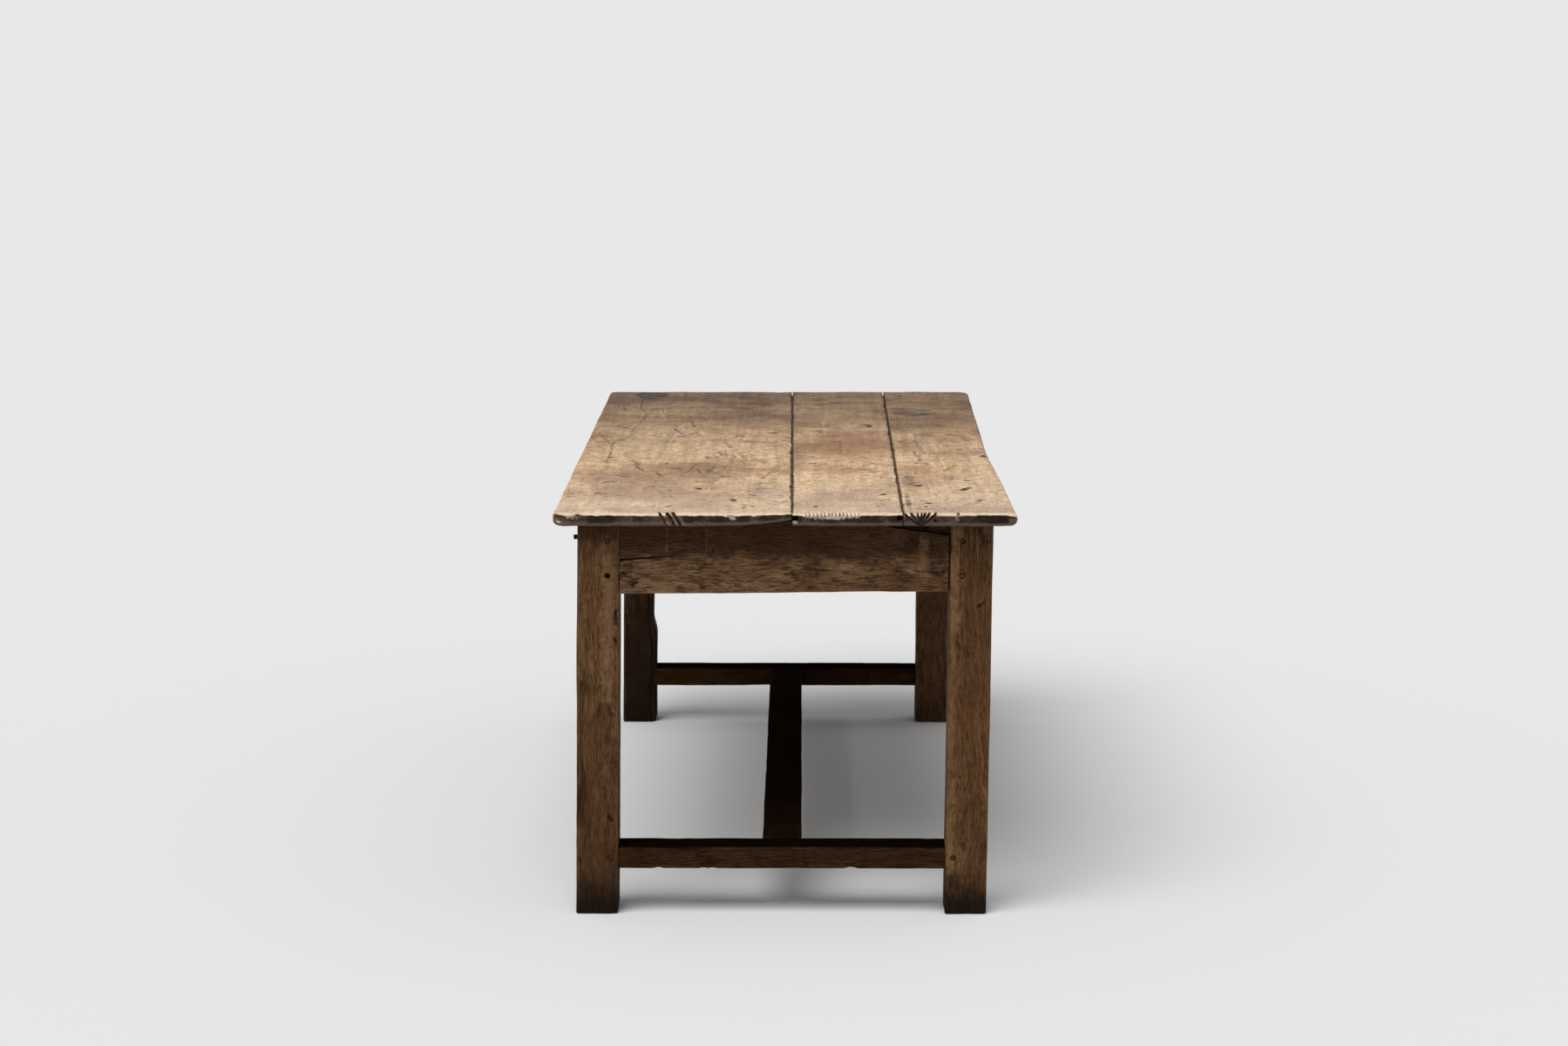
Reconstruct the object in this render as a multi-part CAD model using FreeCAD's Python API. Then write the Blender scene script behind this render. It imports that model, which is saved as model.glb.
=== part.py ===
"""Farmhouse dining table: three tongued planks on a pegged frame of legs, aprons and a low H stretcher.

X runs across the table, Y along it with the front end at -Y, and Z up. The origin is on the floor under the
middle of the top. The old frame has racked a little, so every upright leans by the same amount towards +X.
"""

import FreeCAD
import Part

import os
from collections import namedtuple

from FreeCAD import Vector

# Overall
TABLE_LENGTH = 2000.0
TABLE_WIDTH = 828.0
TABLE_HEIGHT = 750.0
END_OVERHANG = 68.0
SIDE_OVERHANG = 39.0
RACK = 8.0  # how far the feet stand to the left of the leg tops

# Top planks: sawn from tapering logs, so each width differs from end to end. The wide one takes what is left
PLANK_THICKNESS = 24.0
MIDDLE_PLANK_FRONT_WIDTH = 196.0
MIDDLE_PLANK_BACK_WIDTH = 207.0
NARROW_PLANK_FRONT_WIDTH = 203.0
NARROW_PLANK_BACK_WIDTH = 197.0
SEAM_GAP = 2.0
PLANK_CORNER = 9.0
TOP_ARRIS = 2.0
UNDER_ARRIS = 5.0
SIDE_WEAR = 11.0  # depth of the hollow worn into the narrow plank's long edge
SIDE_WEAR_SHARES = ((0.12, 0.16), (0.27, 0.5), (0.42, 1.0), (0.64, 0.68), (0.82, 0.4))  # along, deep

# Tongues on the outer planks, in grooves of the middle plank
TONGUE_THICKNESS = 8.0
TONGUE_REACH = 10.0
TONGUE_SETBACK = 25.0  # the tongues stop short, so the grooves stay open at the ends
TONGUE_DROP = 10.0  # top face to the middle of the tongue
TONGUE_CLEARANCE = 0.3

# Corner of the wide plank planed away below, at the front beside its seam
PLANED_DEPTH = 11.0
PLANED_WIDTH = 88.0
PLANED_LENGTH = 320.0

# Legs
LEG_WIDTH = 77.0
LEG_DEPTH = 77.0
LEG_ARRIS = 3.0
FOOT_WEAR = 4.0
WANE_AT_FLOOR = 13.0  # bark edge left on one leg
WANE_AT_TOP = 22.0

# Aprons
APRON_HEIGHT = 130.0
APRON_THICKNESS = 28.0
APRON_SETBACK = 3.0
APRON_ARRIS = 2.0
APRON_TENON_LENGTH = 42.0
APRON_TENON_THICKNESS = 12.0
APRON_TENON_LOW = 16.0  # shoulder below the tenon
APRON_TENON_HIGH = 22.0  # shoulder above the tenon
SHRUNK_SHOULDER = 3.0  # open joint at the right of the front apron
APRON_DROOP = 27.0  # waney upper corner of the front apron
APRON_DROOP_LENGTH = 230.0
APRON_DROOP_BEND_SHARE = 0.4  # of the droop, halfway along it
APRON_DROOP_DEPTH = 13.0  # from the outer face, the wood behind it being whole

# Stretchers
STRETCHER_BOTTOM = 84.5
STRETCHER_HEIGHT = 42.0
STRETCHER_DEPTH = 66.0
STRETCHER_SETBACK = 4.0
STRETCHER_ARRIS = 3.0
STRETCHER_TENON_LENGTH = 45.0
STRETCHER_TENON_THICKNESS = 20.0
STRETCHER_TENON_SHOULDER = 6.0  # above and below the tenon
LONG_STRETCHER_WIDTH = 72.0
LONG_STRETCHER_HEIGHT = 38.0
LONG_STRETCHER_DROP = 6.0  # below the top of the end stretchers
LONG_TENON_LENGTH = 40.0
LONG_TENON_WIDTH = 50.0
LONG_TENON_THICKNESS = 14.0

# Bearers under the top, housed in the side aprons
BEARER_WIDTH = 60.0
BEARER_HEIGHT = 45.0
BEARER_HOUSING = 12.0
BEARER_SPACING = 610.0

# Pegs
PEG_DIAMETER = 9.0
PEG_CLEARANCE = 0.1
PEG_PROUD = 1.0
PEG_LONG_PROUD = 5.0  # one peg has worked its way out
PEG_BEVEL = 0.8
PEG_POINT = 8.0
PEG_TIP_SHARE = 0.7
APRON_PEG_LENGTH = 45.0
APRON_PEG_INSET = 22.0  # from the shoulder into the tenon
APRON_PEG_HEIGHTS = (30.0, 93.0)  # above the apron's lower edge
STRETCHER_PEG_INSET = 14.0
STRETCHER_PEG_LENGTH = 50.0
LONG_PEG_INSET = 18.0
LONG_PEG_LENGTH = 36.0
TOP_PEG_LENGTH = 60.0
WIDE_PEG_SHARES = (0.42, 0.84)  # places across the wide plank
MIDDLE_PEG_SHARES = (0.22, 0.78)
NARROW_PEG_SHARES = (0.2,)

# Fits
MORTISE_CLEARANCE = 0.2
MORTISE_END_GAP = 2.0
OVERRUN = 5.0  # how far a cut runs past the face that it opens
TOUCHING = 0.01  # places closer than this are the same place
ALONG_SHARE = 0.998  # cosine of the widest angle at which an edge still runs along an axis

# Worked out
LEFT, RIGHT, FRONT, BACK = -1, 1, -1, 1
PLANK_NAMES = ("wide", "middle", "narrow")  # from left to right
X_AXIS, Y_AXIS, Z_AXIS = Vector(1, 0, 0), Vector(0, 1, 0), Vector(0, 0, 1)
FULL_TURN = 360  # degrees
LEG_HEIGHT = TABLE_HEIGHT - PLANK_THICKNESS
HALF_WIDTH = TABLE_WIDTH / 2
HALF_LENGTH = TABLE_LENGTH / 2
FRAME_HALF_WIDTH = HALF_WIDTH - SIDE_OVERHANG
FRAME_HALF_LENGTH = HALF_LENGTH - END_OVERHANG
LEG_INNER_X = FRAME_HALF_WIDTH - LEG_WIDTH
LEG_INNER_Y = FRAME_HALF_LENGTH - LEG_DEPTH
APRON_BOTTOM = LEG_HEIGHT - APRON_HEIGHT
APRON_OUTER_X = FRAME_HALF_WIDTH - APRON_SETBACK
APRON_OUTER_Y = FRAME_HALF_LENGTH - APRON_SETBACK
APRON_INNER_X = APRON_OUTER_X - APRON_THICKNESS
APRON_MIDDLE_X = APRON_OUTER_X - APRON_THICKNESS / 2
APRON_MIDDLE_Y = APRON_OUTER_Y - APRON_THICKNESS / 2
STRETCHER_TOP = STRETCHER_BOTTOM + STRETCHER_HEIGHT
STRETCHER_MIDDLE_Z = STRETCHER_BOTTOM + STRETCHER_HEIGHT / 2
STRETCHER_OUTER_Y = FRAME_HALF_LENGTH - STRETCHER_SETBACK
STRETCHER_INNER_Y = STRETCHER_OUTER_Y - STRETCHER_DEPTH
STRETCHER_MIDDLE_Y = STRETCHER_OUTER_Y - STRETCHER_DEPTH / 2
LONG_STRETCHER_TOP = STRETCHER_TOP - LONG_STRETCHER_DROP
LONG_STRETCHER_BOTTOM = LONG_STRETCHER_TOP - LONG_STRETCHER_HEIGHT
LONG_STRETCHER_MIDDLE_Z = LONG_STRETCHER_TOP - LONG_STRETCHER_HEIGHT / 2
PEG_RADIUS = PEG_DIAMETER / 2
HOLE_RADIUS = PEG_RADIUS + PEG_CLEARANCE

Block = namedtuple("Block", "x0 x1 y0 y1 z0 z1")


def lean(z):
    """How far the racked frame stands to the left at this height."""
    return -RACK * (LEG_HEIGHT - z) / LEG_HEIGHT


def point(x, y, z):
    """A point of the upright frame, moved to where the racked frame has it."""
    return Vector(x + lean(z), y, z)


def block(x0, x1, y0, y1, z0, z1):
    """A block with its limits in order."""
    return Block(min(x0, x1), max(x0, x1), min(y0, y1), max(y0, y1), min(z0, z1), max(z0, z1))


def timber(b):
    """The solid of a block in the racked frame: a parallelogram seen from the end of the table."""
    corners = [point(x, b.y0, z) for x, z in ((b.x0, b.z0), (b.x1, b.z0), (b.x1, b.z1), (b.x0, b.z1))]
    face = Part.Face(Part.makePolygon(corners + corners[:1]))
    return face.extrude(Y_AXIS * (b.y1 - b.y0))


def mortise(tenon, end_axis):
    """The pocket of a tenon: a little clear on its cheeks, and deeper on the axis that it enters by."""
    gx, gy, gz = (MORTISE_END_GAP if axis == end_axis else MORTISE_CLEARANCE for axis in "xyz")
    x0, x1, y0, y1, z0, z1 = tenon
    return timber(Block(x0 - gx, x1 + gx, y0 - gy, y1 + gy, z0 - gz, z1 + gz))


def edges_along(shape, axis):
    """The edges that run along an axis, give or take the lean of the frame."""
    found = []
    for edge in shape.Edges:
        run = edge.lastVertex().Point - edge.firstVertex().Point
        if run.Length and abs(run.normalize().dot(axis)) > ALONG_SHARE:
            found.append(edge)
    return found


def edges_at_height(shape, z):
    """The edges that lie in the level plane at z."""
    return [e for e in shape.Edges if all(abs(v.Z - z) < TOUCHING for v in e.Vertexes)]


def beyond_plane(a, b, c):
    """A slab on the side of the plane through three points to which their right-hand normal points."""
    normal = (b - a).cross(c - a).normalize()
    across = (b - a).normalize()
    up = normal.cross(across)
    middle = (a + b + c) / 3
    reach = TABLE_HEIGHT
    signs = ((-1, -1), (1, -1), (1, 1), (-1, 1))
    corners = [middle + across * (reach * i) + up * (reach * j) for i, j in signs]
    return Part.Face(Part.makePolygon(corners + corners[:1])).extrude(normal * reach)


def peg(head, direction, length):
    """A whittled peg: its bevelled head at a point, tapering to its tip along a direction."""
    profile = [
        Vector(0, 0, 0),
        Vector(PEG_RADIUS - PEG_BEVEL, 0, 0),
        Vector(PEG_RADIUS, 0, PEG_BEVEL),
        Vector(PEG_RADIUS, 0, length - PEG_POINT),
        Vector(PEG_RADIUS * PEG_TIP_SHARE, 0, length),
        Vector(0, 0, length),
    ]
    turned = Part.Face(Part.makePolygon(profile + profile[:1])).revolve(Vector(), Z_AXIS, FULL_TURN)
    turned.Placement = FreeCAD.Placement(head, FreeCAD.Rotation(Z_AXIS, direction))
    return turned


def peg_hole(mouth, direction, depth):
    """The bore of a peg, from past the surface at its mouth."""
    return Part.makeCylinder(HOLE_RADIUS, depth + OVERRUN, mouth - direction * OVERRUN, direction)


def plank_seams():
    """The two seams in plan: each has a left and a right edge, from the front end to the back end."""
    ends = (
        (-HALF_LENGTH, MIDDLE_PLANK_FRONT_WIDTH, NARROW_PLANK_FRONT_WIDTH),
        (HALF_LENGTH, MIDDLE_PLANK_BACK_WIDTH, NARROW_PLANK_BACK_WIDTH),
    )
    second = [(HALF_WIDTH - narrow - SEAM_GAP, y) for y, _, narrow in ends]
    first = [(x - middle - SEAM_GAP, y) for (x, y), (_, middle, _) in zip(second, ends)]
    return [(seam, [(x + SEAM_GAP, y) for x, y in seam]) for seam in (first, second)]


def plan_point(place):
    """A place in plan on the underside of the top."""
    return Vector(place[0], place[1], LEG_HEIGHT)


def plank_body(outline, seam_lines, corners):
    """A plank from the edges of its outline, with worn corners and arrises, but square below at a seam."""
    body = Part.Face(Part.Wire(outline)).extrude(Z_AXIS * PLANK_THICKNESS)
    upright = edges_along(body, Z_AXIS)
    upright = [e for e in upright if any(abs(e.CenterOfMass.x - x) < TOUCHING for x in corners)]
    if upright:
        body = body.makeFillet(PLANK_CORNER, upright)
    body = body.makeFillet(TOP_ARRIS, edges_at_height(body, TABLE_HEIGHT))
    under = []
    for edge in edges_at_height(body, LEG_HEIGHT):
        middle = edge.CenterOfMass
        on_seam = any(abs(middle.x - (line[0][0] + line[1][0]) / 2) < SEAM_GAP for line in seam_lines)
        if not on_seam:
            under.append(edge)
    return body.makeFillet(UNDER_ARRIS, under)


def seam_strip(line, side, near, far, setback, thickness):
    """A strip beside a seam line, on its left or right side, from near to far of it."""
    start, end = (Vector(x, y, 0) for x, y in line)
    run = (end - start).normalize()
    across = Vector(run.y, -run.x, 0) * side
    first, last = start + run * setback, end - run * setback
    bottom = Z_AXIS * (TABLE_HEIGHT - TONGUE_DROP - thickness / 2)
    places = ((first, near), (last, near), (last, far), (first, far))
    corners = [place + across * distance + bottom for place, distance in places]
    return Part.Face(Part.makePolygon(corners + corners[:1])).extrude(Z_AXIS * thickness)


def tongue(line, side):
    """The tongue that stands out of a plank's seam edge towards one side."""
    return seam_strip(line, side, 0, TONGUE_REACH, TONGUE_SETBACK, TONGUE_THICKNESS)


def groove(line, side):
    """The groove in a plank's seam edge that takes a tongue from across the gap."""
    depth = TONGUE_REACH - SEAM_GAP + TONGUE_CLEARANCE
    return seam_strip(line, side, -OVERRUN, depth, -OVERRUN, TONGUE_THICKNESS + 2 * TONGUE_CLEARANCE)


def straight(*places):
    """The straight edges of an outline in plan, through places in order."""
    points = [plan_point(p) for p in places]
    return [Part.makeLine(a, b) for a, b in zip(points, points[1:])]


def wide_plank():
    """The left plank, with a tongue along its seam and a corner planed away below."""
    (seam, _), _ = plank_seams()
    left = -HALF_WIDTH
    outline = straight((left, HALF_LENGTH), (left, -HALF_LENGTH), seam[0], seam[1], (left, HALF_LENGTH))
    body = plank_body(outline, [seam], [left])
    corner = plan_point(seam[0])
    planed = beyond_plane(
        corner + Z_AXIS * PLANED_DEPTH,
        corner - X_AXIS * PLANED_WIDTH,
        corner + Y_AXIS * PLANED_LENGTH,
    )
    return body.fuse(tongue(seam, RIGHT)).removeSplitter().cut(planed)


def middle_plank():
    """The plank between the seams, grooved along both edges."""
    (_, left), (right, _) = plank_seams()
    outline = straight(left[1], left[0], right[0], right[1], left[1])
    body = plank_body(outline, [left, right], [])
    return body.cut(groove(left, RIGHT)).cut(groove(right, LEFT))


def narrow_plank():
    """The right plank, with a tongue along its seam and a long edge worn hollow."""
    _, (_, seam) = plank_seams()
    worn = [plan_point((HALF_WIDTH, -HALF_LENGTH))]
    for along_share, depth_share in SIDE_WEAR_SHARES:
        x, y = HALF_WIDTH - depth_share * SIDE_WEAR, along_share * TABLE_LENGTH - HALF_LENGTH
        worn.append(plan_point((x, y)))
    worn.append(plan_point((HALF_WIDTH, HALF_LENGTH)))
    long_edge = Part.BSplineCurve()
    long_edge.interpolate(worn)
    outline = straight((HALF_WIDTH, HALF_LENGTH), seam[1], seam[0], (HALF_WIDTH, -HALF_LENGTH))
    body = plank_body(outline + [long_edge.toShape()], [seam], [HALF_WIDTH])
    return body.fuse(tongue(seam, LEFT)).removeSplitter()


def apron_tenons_of_end(end):
    """The two tenons of an end apron, left and right."""
    y = end * APRON_MIDDLE_Y
    half = APRON_TENON_THICKNESS / 2
    z0, z1 = APRON_BOTTOM + APRON_TENON_LOW, LEG_HEIGHT - APRON_TENON_HIGH
    tip = LEG_INNER_X + APRON_TENON_LENGTH
    return [block(s * LEG_INNER_X, s * tip, y - half, y + half, z0, z1) for s in (LEFT, RIGHT)]


def apron_tenons_of_side(side):
    """The two tenons of a side apron, front and back."""
    x = side * APRON_MIDDLE_X
    half = APRON_TENON_THICKNESS / 2
    z0, z1 = APRON_BOTTOM + APRON_TENON_LOW, LEG_HEIGHT - APRON_TENON_HIGH
    tip = LEG_INNER_Y + APRON_TENON_LENGTH
    return [block(x - half, x + half, e * LEG_INNER_Y, e * tip, z0, z1) for e in (FRONT, BACK)]


def stretcher_tenons(end):
    """The two tenons of an end stretcher, left and right."""
    y = end * STRETCHER_MIDDLE_Y
    half = STRETCHER_TENON_THICKNESS / 2
    z0, z1 = STRETCHER_BOTTOM + STRETCHER_TENON_SHOULDER, STRETCHER_TOP - STRETCHER_TENON_SHOULDER
    tip = LEG_INNER_X + STRETCHER_TENON_LENGTH
    return [block(s * LEG_INNER_X, s * tip, y - half, y + half, z0, z1) for s in (LEFT, RIGHT)]


def long_tenons():
    """The two tenons of the long stretcher, front and back."""
    half, rise = LONG_TENON_WIDTH / 2, LONG_TENON_THICKNESS / 2
    z0, z1 = LONG_STRETCHER_MIDDLE_Z - rise, LONG_STRETCHER_MIDDLE_Z + rise
    tip = STRETCHER_INNER_Y + LONG_TENON_LENGTH
    return [block(-half, half, e * STRETCHER_INNER_Y, e * tip, z0, z1) for e in (FRONT, BACK)]


# A peg's place: where it meets the surface, which way it goes in, its length and how far it stands out
PegPlace = namedtuple("PegPlace", "mouth direction length proud")


def end_apron_pegs(end):
    """The pegs through the legs into the tenons of an end apron, from the outer face of the legs."""
    places = []
    for side in (LEFT, RIGHT):
        x = side * (LEG_INNER_X + APRON_PEG_INSET)
        for height in APRON_PEG_HEIGHTS:
            mouth = point(x, end * FRAME_HALF_LENGTH, APRON_BOTTOM + height)
            places.append(PegPlace(mouth, Y_AXIS * -end, APRON_PEG_LENGTH, PEG_PROUD))
    return places


def side_apron_pegs(side):
    """The pegs through the legs into the tenons of a side apron. One at the front left has crept out."""
    places = []
    for end in (FRONT, BACK):
        y = end * (LEG_INNER_Y + APRON_PEG_INSET)
        for height in APRON_PEG_HEIGHTS:
            crept = side == LEFT and end == FRONT and height == APRON_PEG_HEIGHTS[-1]
            proud = PEG_LONG_PROUD if crept else PEG_PROUD
            mouth = point(side * FRAME_HALF_WIDTH, y, APRON_BOTTOM + height)
            places.append(PegPlace(mouth, X_AXIS * -side, APRON_PEG_LENGTH, proud))
    return places


def stretcher_pegs(end):
    """The pegs through the legs into the tenons of an end stretcher."""
    places = []
    for side in (LEFT, RIGHT):
        x = side * (LEG_INNER_X + STRETCHER_PEG_INSET)
        mouth = point(x, end * FRAME_HALF_LENGTH, STRETCHER_MIDDLE_Z)
        places.append(PegPlace(mouth, Y_AXIS * -end, STRETCHER_PEG_LENGTH, PEG_PROUD))
    return places


def long_stretcher_pegs():
    """The pegs down through the end stretchers into the tenons of the long stretcher."""
    places = []
    for end in (FRONT, BACK):
        mouth = point(0, end * (STRETCHER_INNER_Y + LONG_PEG_INSET), STRETCHER_TOP)
        places.append(PegPlace(mouth, -Z_AXIS, LONG_PEG_LENGTH, 0))
    return places


def across_plank(number, share):
    """The x of a share of a plank's width, halfway along it. Planks are numbered from the left."""
    (first, second), (third, fourth) = plank_seams()
    edges = [(-HALF_WIDTH, first), (second, third), (fourth, HALF_WIDTH)][number]
    left, right = (e if isinstance(e, float) else (e[0][0] + e[1][0]) / 2 for e in edges)
    return left + share * (right - left)


def top_pegs(number):
    """The pegs down through a plank: into the end aprons, the bearers and, at an outer plank, the legs."""
    shares = (WIDE_PEG_SHARES, MIDDLE_PEG_SHARES, NARROW_PEG_SHARES)[number]
    rows = [e * y for e in (FRONT, BACK) for y in (APRON_MIDDLE_Y, BEARER_SPACING / 2)]
    spots = [(across_plank(number, share), y) for share in shares for y in rows]
    leg_x = {0: -1, 1: 0, 2: 1}[number] * (FRAME_HALF_WIDTH - LEG_WIDTH / 2)
    if leg_x:
        spots += [(leg_x, end * (FRAME_HALF_LENGTH - LEG_DEPTH / 2)) for end in (FRONT, BACK)]
    return [PegPlace(Vector(x, y, TABLE_HEIGHT), -Z_AXIS, TOP_PEG_LENGTH, 0) for x, y in spots]


def all_top_pegs():
    """The pegs of all three planks."""
    return [place for number in range(len(PLANK_NAMES)) for place in top_pegs(number)]


def bored(shape, places):
    """A piece with the holes of pegs in it."""
    for place in places:
        shape = shape.cut(peg_hole(place.mouth, place.direction, place.length - place.proud))
    return shape


def pegs_at(places):
    """Pegs in their places, as one group of separate solids."""
    return Part.makeCompound([peg(p.mouth - p.direction * p.proud, p.direction, p.length) for p in places])


def leg_body(side, end):
    """A leg before its joints are cut, with worn arrises and foot. The back left one has a bark edge."""
    x0, x1 = side * LEG_INNER_X, side * FRAME_HALF_WIDTH
    y0, y1 = end * LEG_INNER_Y, end * FRAME_HALF_LENGTH
    body = timber(block(x0, x1, y0, y1, 0, LEG_HEIGHT))
    body = body.makeFillet(LEG_ARRIS, edges_along(body, Z_AXIS))
    body = body.makeFillet(FOOT_WEAR, edges_at_height(body, 0))
    if (side, end) == (LEFT, BACK):
        foot, head = point(x0, y0, 0), point(x0, y0, LEG_HEIGHT)
        low_edges = foot - X_AXIS * WANE_AT_FLOOR, foot + Y_AXIS * WANE_AT_FLOOR
        body = body.cut(beyond_plane(*low_edges, head - X_AXIS * WANE_AT_TOP))
    return body


def leg(side, end):
    """A leg with the mortises of both aprons and of the stretcher, and its peg holes."""
    at_side, at_end = (0 if side == LEFT else 1), (0 if end == FRONT else 1)
    body = leg_body(side, end)
    body = body.cut(mortise(apron_tenons_of_end(end)[at_side], "x"))
    body = body.cut(mortise(apron_tenons_of_side(side)[at_end], "y"))
    body = body.cut(mortise(stretcher_tenons(end)[at_side], "x"))
    return bored(body, end_apron_pegs(end) + side_apron_pegs(side) + stretcher_pegs(end) + all_top_pegs())


def end_apron(end):
    """An apron across the table. At its right the front one has a waney corner and a shrunk shoulder."""
    y0, y1 = end * (APRON_OUTER_Y - APRON_THICKNESS), end * APRON_OUTER_Y
    gap = SHRUNK_SHOULDER if end == FRONT else 0
    body = timber(block(-LEG_INNER_X, LEG_INNER_X - gap, y0, y1, APRON_BOTTOM, LEG_HEIGHT))
    lower = [e for e in edges_along(body, X_AXIS) if e.CenterOfMass.z < APRON_BOTTOM + APRON_HEIGHT / 2]
    body = body.makeFillet(APRON_ARRIS, lower)
    if end == FRONT:
        body = body.cut(waney_corner())
    for tenon in apron_tenons_of_end(end):
        body = body.fuse(timber(tenon._replace(x0=tenon.x0 - gap)))
    return bored(body.removeSplitter(), end_apron_pegs(end) + all_top_pegs())


def waney_corner():
    """What is missing in front of the rounded upper right corner of the front apron."""
    x0, x1 = LEG_INNER_X - APRON_DROOP_LENGTH, LEG_INNER_X
    y = FRONT * APRON_OUTER_Y - OVERRUN
    start, low = point(x0, y, LEG_HEIGHT), point(x1, y, LEG_HEIGHT - APRON_DROOP)
    bend = point((x0 + x1) / 2, y, LEG_HEIGHT - APRON_DROOP * APRON_DROOP_BEND_SHARE)
    above = [low + Z_AXIS * (APRON_DROOP + OVERRUN), start + Z_AXIS * OVERRUN]
    outline = [Part.Arc(start, bend, low).toShape(), Part.makeLine(low, above[0]), Part.makeLine(*above)]
    outline.append(Part.makeLine(above[1], start))
    return Part.Face(Part.Wire(outline)).extrude(Y_AXIS * (APRON_DROOP_DEPTH + OVERRUN))


def side_apron(side):
    """An apron along the table, housed for the bearers."""
    x0, x1 = side * APRON_INNER_X, side * APRON_OUTER_X
    body = timber(block(x0, x1, -LEG_INNER_Y, LEG_INNER_Y, APRON_BOTTOM, LEG_HEIGHT))
    lower = [e for e in edges_along(body, Y_AXIS) if e.CenterOfMass.z < APRON_BOTTOM + APRON_HEIGHT / 2]
    body = body.makeFillet(APRON_ARRIS, lower)
    for tenon in apron_tenons_of_side(side):
        body = body.fuse(timber(tenon))
    body = body.removeSplitter()
    for end in (FRONT, BACK):
        b, gap = bearer_block(end), MORTISE_CLEARANCE
        body = body.cut(timber(Block(b.x0 - gap, b.x1 + gap, b.y0 - gap, b.y1 + gap, b.z0, b.z1 + OVERRUN)))
    return bored(body, side_apron_pegs(side) + all_top_pegs())


def end_stretcher(end):
    """A stretcher across the table near the floor, laid flat and mortised for the long one.

    The back one is scribed at its left to the bark edge of the leg.
    """
    y0, y1 = end * STRETCHER_INNER_Y, end * STRETCHER_OUTER_Y
    scribed = WANE_AT_TOP if end == BACK else 0
    body = timber(block(-LEG_INNER_X - scribed, LEG_INNER_X, y0, y1, STRETCHER_BOTTOM, STRETCHER_TOP))
    body = body.makeFillet(STRETCHER_ARRIS, edges_along(body, X_AXIS)).cut(leg_body(LEFT, end))
    for tenon in stretcher_tenons(end):
        body = body.fuse(timber(tenon))
    body = body.removeSplitter()
    body = body.cut(mortise(long_tenons()[0 if end == FRONT else 1], "y"))
    return bored(body, stretcher_pegs(end) + long_stretcher_pegs())


def long_stretcher():
    """The stretcher along the table, between the end stretchers."""
    half = LONG_STRETCHER_WIDTH / 2
    reach = STRETCHER_INNER_Y
    body = timber(block(-half, half, -reach, reach, LONG_STRETCHER_BOTTOM, LONG_STRETCHER_TOP))
    body = body.makeFillet(STRETCHER_ARRIS, edges_along(body, Y_AXIS))
    for tenon in long_tenons():
        body = body.fuse(timber(tenon))
    return bored(body.removeSplitter(), long_stretcher_pegs())


def bearer_block(end):
    """The limits of a bearer, with its ends in the housings of the side aprons."""
    y, half = end * BEARER_SPACING / 2, BEARER_WIDTH / 2
    reach = APRON_INNER_X + BEARER_HOUSING
    return block(-reach, reach, y - half, y + half, LEG_HEIGHT - BEARER_HEIGHT, LEG_HEIGHT)


def bearer(end):
    """A bearer that carries the planks between the end aprons."""
    return bored(timber(bearer_block(end)), all_top_pegs())


def plank(number):
    """A plank of the top, bored for its pegs."""
    return bored((wide_plank, middle_plank, narrow_plank)[number](), top_pegs(number))


def pieces():
    """Every piece of the table by name."""
    made = {}
    for number, name in enumerate(PLANK_NAMES):
        made[f"plank_{name}"] = plank(number)
        made[f"pegs_plank_{name}"] = pegs_at(top_pegs(number))
    for end, end_name in ((FRONT, "front"), (BACK, "back")):
        for side, side_name in ((LEFT, "left"), (RIGHT, "right")):
            made[f"leg_{end_name}_{side_name}"] = leg(side, end)
        made[f"apron_{end_name}"] = end_apron(end)
        made[f"stretcher_{end_name}"] = end_stretcher(end)
        made[f"bearer_{end_name}"] = bearer(end)
        made[f"pegs_stretcher_{end_name}"] = pegs_at(stretcher_pegs(end))
    for side, side_name in ((LEFT, "left"), (RIGHT, "right")):
        made[f"apron_{side_name}"] = side_apron(side)
        made[f"pegs_apron_{side_name}"] = pegs_at(side_apron_pegs(side))
    lost = end_apron_pegs(FRONT)[0]
    made["pegs_apron_front"] = pegs_at([p for p in end_apron_pegs(FRONT) if p != lost])
    made["pegs_apron_back"] = pegs_at(end_apron_pegs(BACK))
    made["stretcher_long"] = long_stretcher()
    made["pegs_stretcher_long"] = pegs_at(long_stretcher_pegs())
    return made


def main():
    os.makedirs("parts", exist_ok=True)
    for name, shape in pieces().items():
        if not shape.isValid():
            raise ValueError(f"{name} is not a valid shape")
        shape.exportStep(os.path.join("parts", name + ".step"))
        print(name, len(shape.Solids), round(shape.Volume))


main()
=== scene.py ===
"""Looks of an old farmhouse dining table: scrubbed planks on a dark, pegged oak frame."""

import logging
import math
from bisect import bisect_right
from dataclasses import dataclass, field
from enum import Enum
from functools import cache
from typing import Callable, Iterable, Sequence

import bmesh
import bpy
from bmesh.types import BMEdge, BMesh, BMVert
from bpy.types import Material, Node, NodeSocket as Socket, NodeTree, Object, ShaderNodeTree
from mathutils import Matrix, Vector, noise


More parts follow.
